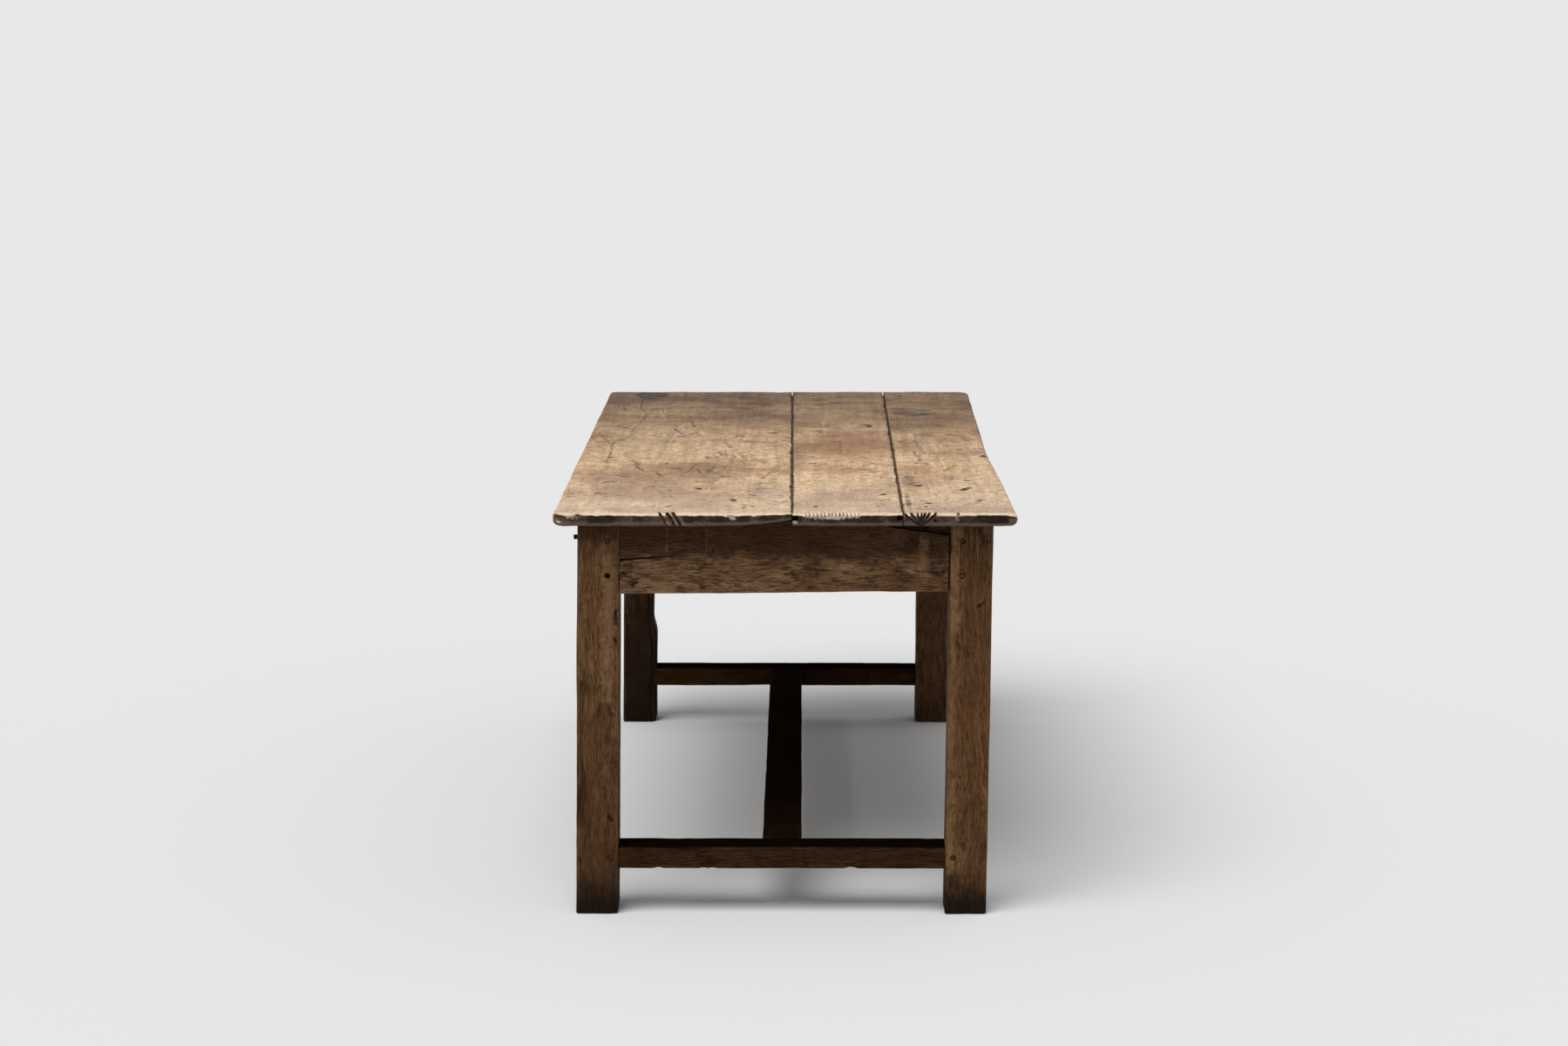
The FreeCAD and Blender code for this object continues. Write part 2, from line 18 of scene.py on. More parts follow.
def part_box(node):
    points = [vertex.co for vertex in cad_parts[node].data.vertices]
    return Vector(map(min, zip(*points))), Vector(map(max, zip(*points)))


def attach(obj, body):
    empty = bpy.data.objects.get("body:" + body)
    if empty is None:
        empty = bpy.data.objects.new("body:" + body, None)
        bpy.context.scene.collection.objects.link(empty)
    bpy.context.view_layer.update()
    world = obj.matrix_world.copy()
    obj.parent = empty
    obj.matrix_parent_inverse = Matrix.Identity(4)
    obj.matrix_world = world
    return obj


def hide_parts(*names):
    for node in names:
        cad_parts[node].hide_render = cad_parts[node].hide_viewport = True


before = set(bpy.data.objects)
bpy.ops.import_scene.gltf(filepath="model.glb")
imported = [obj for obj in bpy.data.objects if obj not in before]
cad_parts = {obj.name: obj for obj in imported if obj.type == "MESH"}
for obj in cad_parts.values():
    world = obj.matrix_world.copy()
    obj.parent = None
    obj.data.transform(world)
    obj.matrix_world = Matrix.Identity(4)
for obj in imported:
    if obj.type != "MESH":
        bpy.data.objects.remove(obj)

LOG = logging.getLogger("farmhouse_table")
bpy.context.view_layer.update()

Colour = tuple[float, float, float, float]
Pixel = tuple[float, float]
Row = tuple[float | Pixel, ...]
Sockets = dict[str, Socket]

ARRIS_DROP = 0.002  # from the top face to where a plank's side begins
SHARP_ANGLE = math.radians(38)
SEAMS_MIDDLE = 0.11  # halfway between the two seams of the top, across the table
SEAM_ROOM = 0.006  # how far a mark may lie past the side of a plank
SAME = 1e-6  # lengths under this are none
WELD = 1e-5  # points of the frame as near as this are one
FLUSH = 1e-4  # points as near to a face as this lie on it
STRAIGHT = 0.999  # share of an edge's length that runs along the axis it follows
UP = Vector((0.0, 0.0, 1.0))


class Grain(Enum):
    """The axis that the grain of a piece runs along."""

    ACROSS = 0
    LENGTHWISE = 1
    UPRIGHT = 2

    def turned(self) -> tuple[float, float, float]:
        """Gives the turn that brings this grain onto X."""
        quarter = math.pi / 2
        return {0: (0.0, 0.0, 0.0), 1: (0.0, 0.0, -quarter), 2: (0.0, quarter, 0.0)}[self.value]


class Slot(Enum):
    """The record's material slots."""

    TOP = "top_wood"
    FRAME = "frame_wood"
    PEG = "peg_wood"


def paint(red: int, green: int, blue: int) -> Colour:
    """Turns a colour in screen values from 0 to 255 into a linear one.

    Args:
        red: the red value.
        green: the green value.
        blue: the blue value.

    Returns:
        The linear colour, opaque.
    """

    def linear(value: int) -> float:
        """Turns one value."""
        share = value / 255
        return share / 12.92 if share <= 0.04045 else ((share + 0.055) / 1.055) ** 2.4

    return linear(red), linear(green), linear(blue), 1.0


@dataclass(frozen=True)
class PhotoCamera:
    """The camera of the photograph, and where its pixels lie on the table."""

    place: Vector = Vector((0.032, -7.525, 1.676))
    lens: float = 85.0
    sensor: float = 36.0
    pitch: float = math.radians(8.23)
    yaw: float = math.radians(-0.299)
    width: int = 1799
    height: int = 1200

    def ray(self, pixel: Pixel) -> Vector:
        """Gives the direction in which the camera sees a pixel.

        Args:
            pixel: the pixel.

        Returns:
            The direction.
        """
        ahead = Vector((math.sin(self.yaw) * math.cos(self.pitch), math.cos(self.yaw) * math.cos(self.pitch),
                        -math.sin(self.pitch)))
        right = Vector((math.cos(self.yaw), -math.sin(self.yaw), 0.0))
        focal = self.lens / self.sensor * self.width
        over = (pixel[0] - self.width / 2) / focal
        down = (pixel[1] - self.height / 2) / focal
        return ahead + right * over - right.cross(ahead) * down

    def on_level(self, pixel: Pixel, z: float) -> Vector:
        """Gives the point of the level plane at z that a pixel shows."""
        ray = self.ray(pixel)
        return self.place + ray * ((z - self.place.z) / ray.z)

    def on_upright(self, pixel: Pixel, y: float) -> Vector:
        """Gives the point of the upright plane at y that a pixel shows."""
        ray = self.ray(pixel)
        return self.place + ray * ((y - self.place.y) / ray.y)

    def build(self) -> None:
        """Puts the camera in the scene."""
        data = bpy.data.cameras.new("photo_camera")
        data.lens = self.lens
        data.sensor_width = self.sensor
        camera = bpy.data.objects.new("photo_camera", data)
        camera.location = self.place
        camera.rotation_euler = (math.pi / 2 - self.pitch, 0.0, -self.yaw)
        bpy.context.scene.collection.objects.link(camera)
        bpy.context.scene.camera = camera


CAMERA = PhotoCamera()


@dataclass(frozen=True)
class Rack:
    """How the old frame leans: its feet stand to the left of its leg tops."""

    offset: float
    height: float

    def at(self, z: float) -> float:
        """Gives how far the frame stands to the left at a height."""
        return -self.offset * (self.height - z) / self.height

    @classmethod
    def of_frame(cls) -> "Rack":
        """Reads the lean from a leg, which is square."""
        low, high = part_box("leg_front_left")
        return cls((high.x - low.x) - (high.y - low.y), high.z)


RACK = Rack.of_frame()


def named(sockets: Iterable[Socket]) -> Sockets:
    """Gives sockets by their names."""
    return {socket.name: socket for socket in sockets}


class Wiring:
    """Adds nodes to a node tree and links them."""

    def __init__(self, tree: NodeTree) -> None:
        """Takes over an empty tree."""
        self.tree = tree
        self.count = 0

    def node(self, kind: str, **settings: object) -> Node:
        """Adds a node.

        Args:
            kind: the node's type name, without the ShaderNode in front.
            settings: attributes to set on it.

        Returns:
            The node.
        """
        made = self.tree.nodes.new(kind if kind.startswith("Node") else "ShaderNode" + kind)
        made.location = (self.count % 8 * 200, -(self.count // 8) * 240)
        self.count += 1
        for name, value in settings.items():
            setattr(made, name, value)
        return made

    def feed(self, socket: Socket, value: object) -> None:
        """Links a socket to another, or sets its value.

        Args:
            socket: the input.
            value: another socket, or a plain value.
        """
        if isinstance(value, Socket):
            self.tree.links.new(value, socket)
        else:
            socket.default_value = value

    def fed(self, kind: str, values: dict[str | int, object], **settings: object) -> Node:
        """Adds a node and feeds its inputs.

        Args:
            kind: the node's type name, without the ShaderNode in front.
            values: sockets or plain values, by the inputs' names or numbers.
            settings: attributes to set on it first.

        Returns:
            The node.
        """
        made = self.node(kind, **settings)
        for label, value in values.items():
            self.feed(made.inputs[label], value)
        return made

    def math(self, operation: str, first: object, second: object = 0.0) -> Socket:
        """Gives the result of a Math node of one or two inputs."""
        return self.fed("Math", {0: first, 1: second}, operation=operation).outputs[0]

    def vector(self, operation: str, first: object, second: object, output: str = "Vector") -> Socket:
        """Gives a result of a Vector Math node of two inputs."""
        return self.fed("VectorMath", {0: first, 1: second}, operation=operation).outputs[output]

    def scaled(self, first: object, by: object) -> Socket:
        """Gives a vector times a number."""
        return self.fed("VectorMath", {"Vector": first, "Scale": by}, operation="SCALE").outputs[0]

    def times(self, first: object, second: object) -> Socket:
        """Gives one value times another."""
        return self.math("MULTIPLY", first, second)

    def times_plus(self, value: object, by: object, base: object) -> Socket:
        """Gives a value times a number, on top of a base."""
        return self.fed("Math", {0: value, 1: by, 2: base}, operation="MULTIPLY_ADD").outputs[0]

    def summed(self, base: Socket, values: Iterable[tuple[Socket, float]]) -> Socket:
        """Adds values to a base, each times its own number.

        Args:
            base: what they are added to.
            values: the values and their numbers.

        Returns:
            The sum.
        """
        whole = base
        for value, by in values:
            whole = self.times_plus(value, by, whole)
        return whole

    def centred(self, value: object) -> Socket:
        """Gives a value from 0 to 1 with its middle moved to 0."""
        return self.math("SUBTRACT", value, 0.5)

    def attribute(self, name: str) -> Socket:
        """Gives a value that the mesh keeps at its points."""
        return self.node("Attribute", attribute_name=name).outputs["Fac"]

    def parts(self, vector: Socket) -> list[Socket]:
        """Gives the x, y and z of a vector."""
        return self.fed("SeparateXYZ", {0: vector}).outputs[:]

    def drawn_out(self, place: Socket, share: float) -> Socket:
        """Draws a pattern out along X, where it runs at a share of its pace."""
        return self.vector("MULTIPLY", place, (share, 1.0, 1.0))

    def swayed(self, place: Socket, scale: float, detail: float, rough: float, by: float) -> Socket:
        """Moves a place to and fro by noise."""
        sway = self.vector("SUBTRACT", self.noise(place, scale, detail, rough, colour=True), (0.5, 0.5, 0.5))
        return self.vector("ADD", place, self.scaled(sway, by))

    def noise(self, place: Socket, scale: object, detail: float, rough: float,
              colour: bool = False) -> Socket:
        """Gives the value of a Noise Texture, or its colour."""
        made = self.fed("TexNoise", {"Vector": place, "Scale": scale, "Detail": detail, "Roughness": rough})
        return made.outputs["Color" if colour else 0]

    def span(self, value: object, low: object, high: object, to_low: float = 0.0,
             to_high: float = 1.0) -> Socket:
        """Brings a value smoothly from one span to another and holds it there."""
        ends = {"From Min": low, "From Max": high, "To Min": to_low, "To Max": to_high}
        return self.fed("MapRange", {"Value": value, **ends}, interpolation_type="SMOOTHSTEP").outputs[0]

    def blend(self, share: object, first: object, second: object, mode: str = "MIX") -> Socket:
        """Mixes two colours by a share."""
        values = {"Factor": share, 6: first, 7: second}
        return self.fed("Mix", values, data_type="RGBA", blend_type=mode).outputs[2]

    def ramp(self, value: Socket, stops: Sequence[tuple[float, Colour]]) -> Socket:
        """Gives the colour of a value on a ramp of stops.

        Args:
            value: the value.
            stops: positions and colours.

        Returns:
            The colour.
        """
        made = self.node("ValToRGB")
        elements = made.color_ramp.elements
        while len(elements) < len(stops):
            elements.new(1.0)
        for element, (position, colour) in zip(elements, stops):
            element.position = position
            element.color = colour
        self.feed(made.inputs[0], value)
        return made.outputs[0]

    def group(self, tree: ShaderNodeTree, **given: object) -> Sockets:
        """Places a node group, feeds its inputs by name, with _ for each space, and gives its values."""
        values = {name.replace("_", " "): value for name, value in given.items()}
        return named(self.fed("Group", values, node_tree=tree).outputs)


class Effects:
    """The node groups that the finishes share, each built when it is first needed."""

    @classmethod
    def start(cls, name: str, inputs: dict[str, str],
              outputs: Iterable[str]) -> tuple[Wiring, Sockets, Sockets]:
        """Begins a group with named sockets.

        Args:
            name: the group's name.
            inputs: socket types by input name.
            outputs: names of its values.

        Returns:
            The wiring of the group, its input sockets and its output sockets by name.
        """
        tree = bpy.data.node_groups.new(name, "ShaderNodeTree")
        for label, kind in inputs.items():
            tree.interface.new_socket(name=label, in_out="INPUT", socket_type=kind)
        for label in outputs:
            tree.interface.new_socket(name=label, in_out="OUTPUT", socket_type="NodeSocketFloat")
        wiring = Wiring(tree)
        source, sink = wiring.node("NodeGroupInput"), wiring.node("NodeGroupOutput")
        return wiring, named(source.outputs), named(sink.inputs)

    @classmethod
    @cache
    def oak_grain(cls) -> ShaderNodeTree:
        """Makes growth rings, fibres, open pores and drying cracks, with the grain along X.

        Returns:
            The group.
        """
        kinds = {"Grain Place": "NodeSocketVector", "Ring Count": "NodeSocketFloat"}
        w, given, out = cls.start("oak grain", kinds, ("Rings", "Streaks", "Fibre", "Pores", "Cracks"))
        place = given["Grain Place"]
        swayed = w.swayed(place, 5.0, 2.0, 0.5, 0.03)
        year = w.times(w.noise(w.drawn_out(swayed, 0.10), 5.5, 1.5, 0.45), given["Ring Count"])
        w.feed(out["Rings"], w.times_plus(w.math("SINE", year), 0.5, 0.5))
        w.feed(out["Streaks"], w.noise(w.drawn_out(swayed, 0.014), 85.0, 5.0, 0.68))
        w.feed(out["Fibre"], w.noise(w.drawn_out(swayed, 0.05), 330.0, 4.0, 0.72))
        pores = w.noise(w.drawn_out(swayed, 0.09), 520.0, 2.0, 0.6)
        w.feed(out["Pores"], w.span(pores, 0.53, 0.62))
        ridge = w.math("ABSOLUTE", w.centred(w.noise(w.drawn_out(swayed, 0.035), 24.0, 2.0, 0.5)))
        where = w.span(w.noise(place, 6.0, 2.0, 0.5), 0.54, 0.64)
        w.feed(out["Cracks"], w.times(w.span(ridge, 0.004, 0.011, 1.0, 0.0), where))
        return w.tree

    @classmethod
    @cache
    def age(cls) -> ShaderNodeTree:
        """Makes broad tones, blotches, fine mottling, dark specks, curled tool marks and dents.

        Returns:
            The group.
        """
        kinds = {"Place": "NodeSocketVector", "Size": "NodeSocketFloat"}
        w, given, out = cls.start("age", kinds, ("Tone", "Blotch", "Mottle", "Specks", "Curls", "Dents"))
        place = w.scaled(given["Place"], given["Size"])
        w.feed(out["Tone"], w.noise(place, 3.8, 3.0, 0.55))
        w.feed(out["Blotch"], w.noise(place, 15.0, 5.0, 0.62))
        w.feed(out["Mottle"], w.noise(place, 58.0, 6.0, 0.7))
        w.feed(out["Specks"], w.span(w.noise(w.scaled(place, 0.8), 120.0, 3.0, 0.72), 0.60, 0.69))
        curled = w.swayed(place, 17.0, 2.0, 0.5, 0.09)
        ridge = w.math("ABSOLUTE", w.centred(w.noise(curled, 30.0, 1.0, 0.5)))
        patches = w.times(w.span(w.noise(place, 24.0, 2.0, 0.6), 0.49, 0.58),
                          w.span(w.noise(place, 7.0, 1.0, 0.5), 0.42, 0.56))
        w.feed(out["Curls"], w.times(w.span(ridge, 0.010, 0.048, 1.0, 0.0), patches))
        w.feed(out["Dents"], w.noise(place, 70.0, 3.0, 0.6))
        return w.tree

    @classmethod
    @cache
    def stroke(cls) -> ShaderNodeTree:
        """Makes a mark with a ragged outline along a straight run from one point to another.

        Returns:
            The group.
        """
        kinds = {"Place": "NodeSocketVector", "Ragged": "NodeSocketFloat", "Start": "NodeSocketVector",
                 "End": "NodeSocketVector", "Half Width": "NodeSocketFloat", "Strength": "NodeSocketFloat"}
        w, given, out = cls.start("stroke", kinds, ("Mask",))
        to_place = w.vector("SUBTRACT", given["Place"], given["Start"])
        run = w.vector("SUBTRACT", given["End"], given["Start"])
        length = w.math("MAXIMUM", w.vector("DOT_PRODUCT", run, run, "Value"), 1e-9)
        share = w.math("DIVIDE", w.vector("DOT_PRODUCT", to_place, run, "Value"), length)
        nearest = w.scaled(run, w.math("MINIMUM", w.math("MAXIMUM", share, 0.0), 1.0))
        gap = w.vector("DISTANCE", to_place, nearest, "Value")
        torn = w.times(w.centred(given["Ragged"]), 2.6)
        gap = w.times_plus(torn, given["Half Width"], gap)
        inner = w.times(given["Half Width"], 0.3)
        mask = w.span(gap, inner, given["Half Width"], 1.0, 0.0)
        w.feed(out["Mask"], w.times(mask, given["Strength"]))
        return w.tree


@dataclass(frozen=True)
class Stroke:
    """A mark on a piece, along straight runs between points of the table."""

    points: tuple[Vector, ...]
    half_width: float
    strength: float

    @classmethod
    def on_top(cls, z: float, half_width: float, strength: float, *pixels: Pixel) -> "Stroke":
        """Makes a stroke on the level face at z from pixels of the photograph."""
        return cls(tuple(CAMERA.on_level(p, z) for p in pixels), half_width, strength)

    @classmethod
    def on_front(cls, y: float, half_width: float, strength: float, *pixels: Pixel) -> "Stroke":
        """Makes a stroke on the upright face at y from pixels of the photograph."""
        return cls(tuple(CAMERA.on_upright(p, y) for p in pixels), half_width, strength)

    @classmethod
    def all_on_front(cls, y: float, rows: Iterable[Row]) -> tuple["Stroke", ...]:
        """Makes a stroke on the upright face at y from each row of half width, strength and pixels."""
        return tuple(cls.on_front(y, *row) for row in rows)

    def touches(self, low: Vector, high: Vector) -> bool:
        """Tells whether the stroke lies over a box, seen from above, or over its seams."""
        return any(low.x - SEAM_ROOM < p.x < high.x + SEAM_ROOM and low.y < p.y < high.y for p in self.points)

    def mask(self, w: Wiring, place: Socket, ragged: Socket) -> Socket:
        """Adds the groups of this stroke to a material and gives their mask.

        Args:
            w: the material's wiring.
            place: the place on the table.
            ragged: noise for its outline.

        Returns:
            The mask.
        """
        masks = [
            w.group(Effects.stroke(), Place=place, Ragged=ragged, Start=start, End=end,
                    Half_Width=self.half_width, Strength=self.strength)["Mask"]
            for start, end in zip(self.points, self.points[1:] or self.points)
        ]
        whole = masks[0]
        for mask in masks[1:]:
            whole = w.math("MAXIMUM", whole, mask)
        return whole


def joined_mask(w: Wiring, place: Socket, strokes: Sequence[Stroke],
                tear: Socket | None = None) -> Socket | None:
    """Gives the mask of many strokes together.

    Args:
        w: the material's wiring.
        place: the place on the table.
        strokes: the strokes.
        tear: a value that breaks the marks up, if any.

    Returns:
        The mask, or None where there are no strokes.
    """
    if not strokes:
        return None
    ragged = w.noise(place, 130.0, 3.0, 0.65)
    whole = None
    for stroke in strokes:
        mask = stroke.mask(w, place, ragged)
        whole = mask if whole is None else w.math("MAXIMUM", whole, mask)
    worn = w.times(whole, w.span(w.noise(place, 45.0, 2.0, 0.6), 0.36, 0.52, 0.35, 1.0))
    if tear is not None:
        worn = w.times(worn, tear)
    return w.math("MINIMUM", worn, 1.0)


@dataclass(frozen=True)
class Finish:
    """What the finishes of the table share: a material with a grain direction and listed marks."""

    name: str
    grain: Grain
    seed: float = 0.0
    dark_marks: tuple[Stroke, ...] = ()
    pale_marks: tuple[Stroke, ...] = ()

    def begin(self) -> tuple[Material, Wiring, Node]:
        """Starts the material.

        Returns:
            The material, its wiring and its Principled node.
        """
        material = bpy.data.materials.new(self.name)
        material.use_nodes = True
        tree = material.node_tree
        tree.nodes.clear()
        w = Wiring(tree)
        shader = w.node("BsdfPrincipled")
        sink = w.node("OutputMaterial")
        tree.links.new(shader.outputs[0], sink.inputs[0])
        return material, w, shader

    def places(self, w: Wiring) -> tuple[Socket, Socket, Socket]:
        """Gives where a point of the wood is, for marks, for age and for grain.

        Args:
            w: the material's wiring.

        Returns:
            The place on the table, that place moved by the seed, and the moved one turned to the grain.
        """
        place = w.node("TexCoord").outputs["Object"]
        offset = (self.seed, self.seed * 1.7, self.seed * 0.6)
        moved = w.fed("Mapping", {"Vector": place, "Location": offset}).outputs[0]
        turned = w.fed("Mapping", {"Vector": moved, "Rotation": self.grain.turned()}).outputs[0]
        return place, moved, turned

    def end_grain(self, w: Wiring) -> tuple[Socket, Socket]:
        """Gives the share of end grain at a point, and the upward part of its normal."""
        parts = w.parts(w.node("NewGeometry").outputs["Normal"])
        return w.span(w.math("ABSOLUTE", parts[self.grain.value]), 0.55, 0.85), parts[2]

    def wobbled(self, w: Wiring, place: Socket) -> Socket:
        """Gives the place moved a little to and fro, so that marks have no ruled edges."""
        return w.swayed(place, 42.0, 3.0, 0.6, 0.009)

    def bump(self, w: Wiring, shader: Node, height: Socket, distance: float, strength: float) -> None:
        """Gives the shader a bumpy surface."""
        bump = w.fed("Bump", {"Distance": distance, "Strength": strength, "Height": height})
        w.feed(shader.inputs["Normal"], bump.outputs[0])


@dataclass(frozen=True)
class ScrubbedOak(Finish):
    """The planks: pale, scrubbed and mottled above, paler towards the front by painted light, with dark end
    grain, painted shade deep in the seams, and bright arrises that are worn and carry a painted highlight.
    """

    tones: tuple[tuple[float, Colour], ...] = (
        (0.39, paint(176, 139, 105)), (0.48, paint(207, 169, 130)), (0.57, paint(231, 195, 154)))
    over: float = 0.75  # height of the upper face above the floor
    end_wood: tuple[tuple[float, Colour], ...] = (
        (0.34, paint(24, 16, 11)), (0.5, paint(38, 27, 19)), (0.66, paint(72, 56, 44)))
    slit: Colour = paint(48, 32, 21)
    scratch: Colour = paint(236, 216, 194)
    blotched: Colour = paint(150, 118, 88)
    blushed: Colour = paint(168, 114, 78)
    painted_front_light: Colour = paint(230, 208, 184)
    far_shade: Colour = (0.29, 0.262, 0.222, 1.0)
    soaked: Colour = paint(60, 46, 35)
    curl: Colour = paint(120, 80, 47)
    speck: Colour = paint(96, 67, 44)
    pore: Colour = paint(116, 86, 60)
    side: Colour = paint(92, 66, 45)
    underside: Colour = paint(78, 58, 42)
    seam: Colour = paint(84, 58, 39)
    seam_shade: Colour = paint(36, 25, 17)
    worn_arris_and_highlight: Colour = paint(234, 212, 189)
    low_arris: Colour = paint(108, 91, 77)
    gloss: float = 0.08
    seam_fade: tuple[float, float] = (0.16, 0.22)  # from the middle of the seams to where their dirt and painted shade end
    end_from: tuple[float, float] = (0.975, 0.99)  # from the table's middle to where its ends begin
    left_from: tuple[float, float] = (-0.412, -0.400)  # where the bright arris begins at the left
    seam_shade_from: tuple[float, float] = (0.0025, 0.0055)  # depth at which the painted shade deep in the seams begins
    low_from: tuple[float, float] = (0.008, 0.011)  # depth at which the lower arris begins

    def material(self) -> Material:
        """Builds the material.

        Returns:
            The material.
        """
        material, w, shader = self.begin()
        place, moved, turned = self.places(w)
        grain = w.group(Effects.oak_grain(), Grain_Place=turned, Ring_Count=120.0)
        stretched = w.vector("MULTIPLY", moved, (0.9, 0.85, 1.0))
        age = w.group(Effects.age(), Place=stretched, Size=1.0)
        end, up = self.end_grain(w)
        parts = w.parts(place)
        colour = self.face_colour(w, grain, age, parts[1])
        colour, bright = self.edge_colour(w, age, colour, end, up, parts)

        wobbled = self.wobbled(w, place)
        dark = joined_mask(w, wobbled, self.dark_marks)
        if dark is not None:
            colour = w.blend(dark, colour, self.slit)
        pale = joined_mask(w, wobbled, self.pale_marks)
        if pale is not None:
            colour = w.blend(pale, colour, self.scratch)
        w.feed(shader.inputs["Base Color"], colour)

        rough = w.span(age["Blotch"], 0.35, 0.65, 0.5, 0.66)
        w.feed(shader.inputs["Roughness"], w.times_plus(bright, -0.2, rough))
        shader.inputs["Specular IOR Level"].default_value = self.gloss
        depths = [(grain["Fibre"], 0.35), (age["Specks"], -0.7), (age["Curls"], -0.8),
                  (grain["Pores"], -0.35)]
        if dark is not None:
            depths.append((dark, -1.4))
        height = w.summed(age["Dents"], depths)
        self.bump(w, shader, height, distance=0.0020, strength=0.8)
        return material

    def face_colour(self, w: Wiring, grain: Sockets, age: Sockets, along: Socket) -> Socket:
        """Builds the colour of the scrubbed upper face, with its soft stains, painted light towards the front
        end and painted shade towards the back.

        Args:
            w: the material's wiring.
            grain: the values of the grain.
            age: the values of the age.
            along: the place along the table.

        Returns:
            The colour.
        """
        mottle, blotch = age["Mottle"], age["Blotch"]
        stain = w.attribute("stain")
        blush = w.attribute("blush")
        colour = w.ramp(age["Tone"], self.tones)
        streaks, fibre = grain["Streaks"], grain["Fibre"]
        shares = ((blotch, 0.88, 1.08), (mottle, 0.70, 1.24), (age["Dents"], 0.84, 1.12),
                  (streaks, 0.79, 1.13), (fibre, 0.86, 1.09))
        for value, low, high in shares:
            colour = w.blend(1.0, colour, w.span(value, 0.3, 0.7, low, high), "MULTIPLY")
        colour = w.blend(1.0, colour, w.times_plus(grain["Rings"], 0.13, 0.935), "MULTIPLY")
        colour = w.blend(w.span(blotch, 0.52, 0.68, 0.0, 0.35), colour, self.blotched)
        rosy = w.times(blush, w.span(mottle, 0.36, 0.62, 0.3, 0.85))
        colour = w.blend(rosy, colour, self.blushed)
        torn = w.math("ADD", w.centred(mottle), w.centred(blotch))
        # painted light: the top grows paler towards its front end, broken up by the mottling and blotches
        near = w.span(w.times_plus(torn, 0.5, along), -0.35, -1.0, 0.0, 0.42)
        colour = w.blend(near, colour, self.painted_front_light)
        far = w.span(w.times_plus(torn, 0.6, along), -0.45, 1.0)
        colour = w.blend(far, colour, self.far_shade, "MULTIPLY")
        soaked = w.span(w.times_plus(torn, 1.5, stain), 0.2, 1.15)
        colour = w.blend(soaked, colour, self.soaked)
        colour = w.blend(w.times(age["Curls"], 0.6), colour, self.curl)
        colour = w.blend(w.times(age["Specks"], 0.6), colour, self.speck)
        return w.blend(w.times(grain["Pores"], 0.22), colour, self.pore)

    def edge_colour(self, w: Wiring, age: Sockets, colour: Socket, end: Socket, up: Socket,
                    parts: Sequence[Socket]) -> tuple[Socket, Socket]:
        """Darkens the end grain, the seams and the underside, paints shade deep in the seams, and brightens
        the arrises of the ends with wear and a painted highlight.

        Args:
            w: the material's wiring.
            age: the values of the age.
            colour: the colour of the face.
            end: the share of end grain.
            up: the upward part of the normal.
            parts: the place on the table, in its three parts.

        Returns:
            The colour and the share of bright arris.
        """
        mottle, blotch = age["Mottle"], age["Blotch"]
        arris = w.attribute("arris")
        end_tone = w.ramp(w.times_plus(w.centred(mottle), 0.9, blotch), self.end_wood)
        colour = w.blend(w.span(up, 0.75, 0.3, 0.0, 0.65), colour, self.side)
        colour = w.blend(w.times(end, 0.97), colour, end_tone)
        under = w.blend(0.5, end_tone, self.underside)
        colour = w.blend(w.span(up, -0.6, -0.2, 0.85, 0.0), colour, under)
        ragged = w.times_plus(w.centred(mottle), 0.8, arris)
        ragged = w.times_plus(w.centred(blotch), 0.8, ragged)
        across, along, height = parts
        at_end = w.span(w.math("ABSOLUTE", along), *self.end_from)
        inner = w.math("ABSOLUTE", w.math("SUBTRACT", across, SEAMS_MIDDLE))
        inner = w.span(inner, *self.seam_fade, 1.0, 0.0)
        seam = w.times(w.times(w.span(ragged, 0.70, 0.90), inner), w.math("SUBTRACT", 1.0, at_end))
        colour = w.blend(w.times(seam, 0.7), colour, self.seam)
        depth = w.math("SUBTRACT", self.over, height)
        # painted shade on the sides of the seams below the arris, where the gap between the planks is deep
        seam_shade = w.times(w.span(depth, *self.seam_shade_from), inner)
        seam_shade = w.times(seam_shade, w.times(w.span(up, -0.6, -0.3), w.math("SUBTRACT", 1.0, end)))
        colour = w.blend(w.times(seam_shade, 0.9), colour, self.seam_shade)
        # bright arrises at the ends: paler worn wood, with a painted highlight on the rounded upper arris
        edge = w.times(w.span(ragged, 0.42, 0.66), at_end)
        edge = w.times(edge, w.span(across, *self.left_from))
        bright = w.times(edge, w.times(w.span(up, 0.02, 0.3), w.span(up, 0.99, 0.92)))
        colour = w.blend(w.times(bright, 0.92), colour, self.worn_arris_and_highlight)
        low_edge = w.times(w.span(ragged, 0.12, 0.62), w.span(depth, *self.low_from))
        low_edge = w.times(low_edge, w.times(at_end, w.span(up, 0.3, 0.1)))
        colour = w.blend(w.times(low_edge, 0.68), colour, self.low_arris)
        return colour, bright


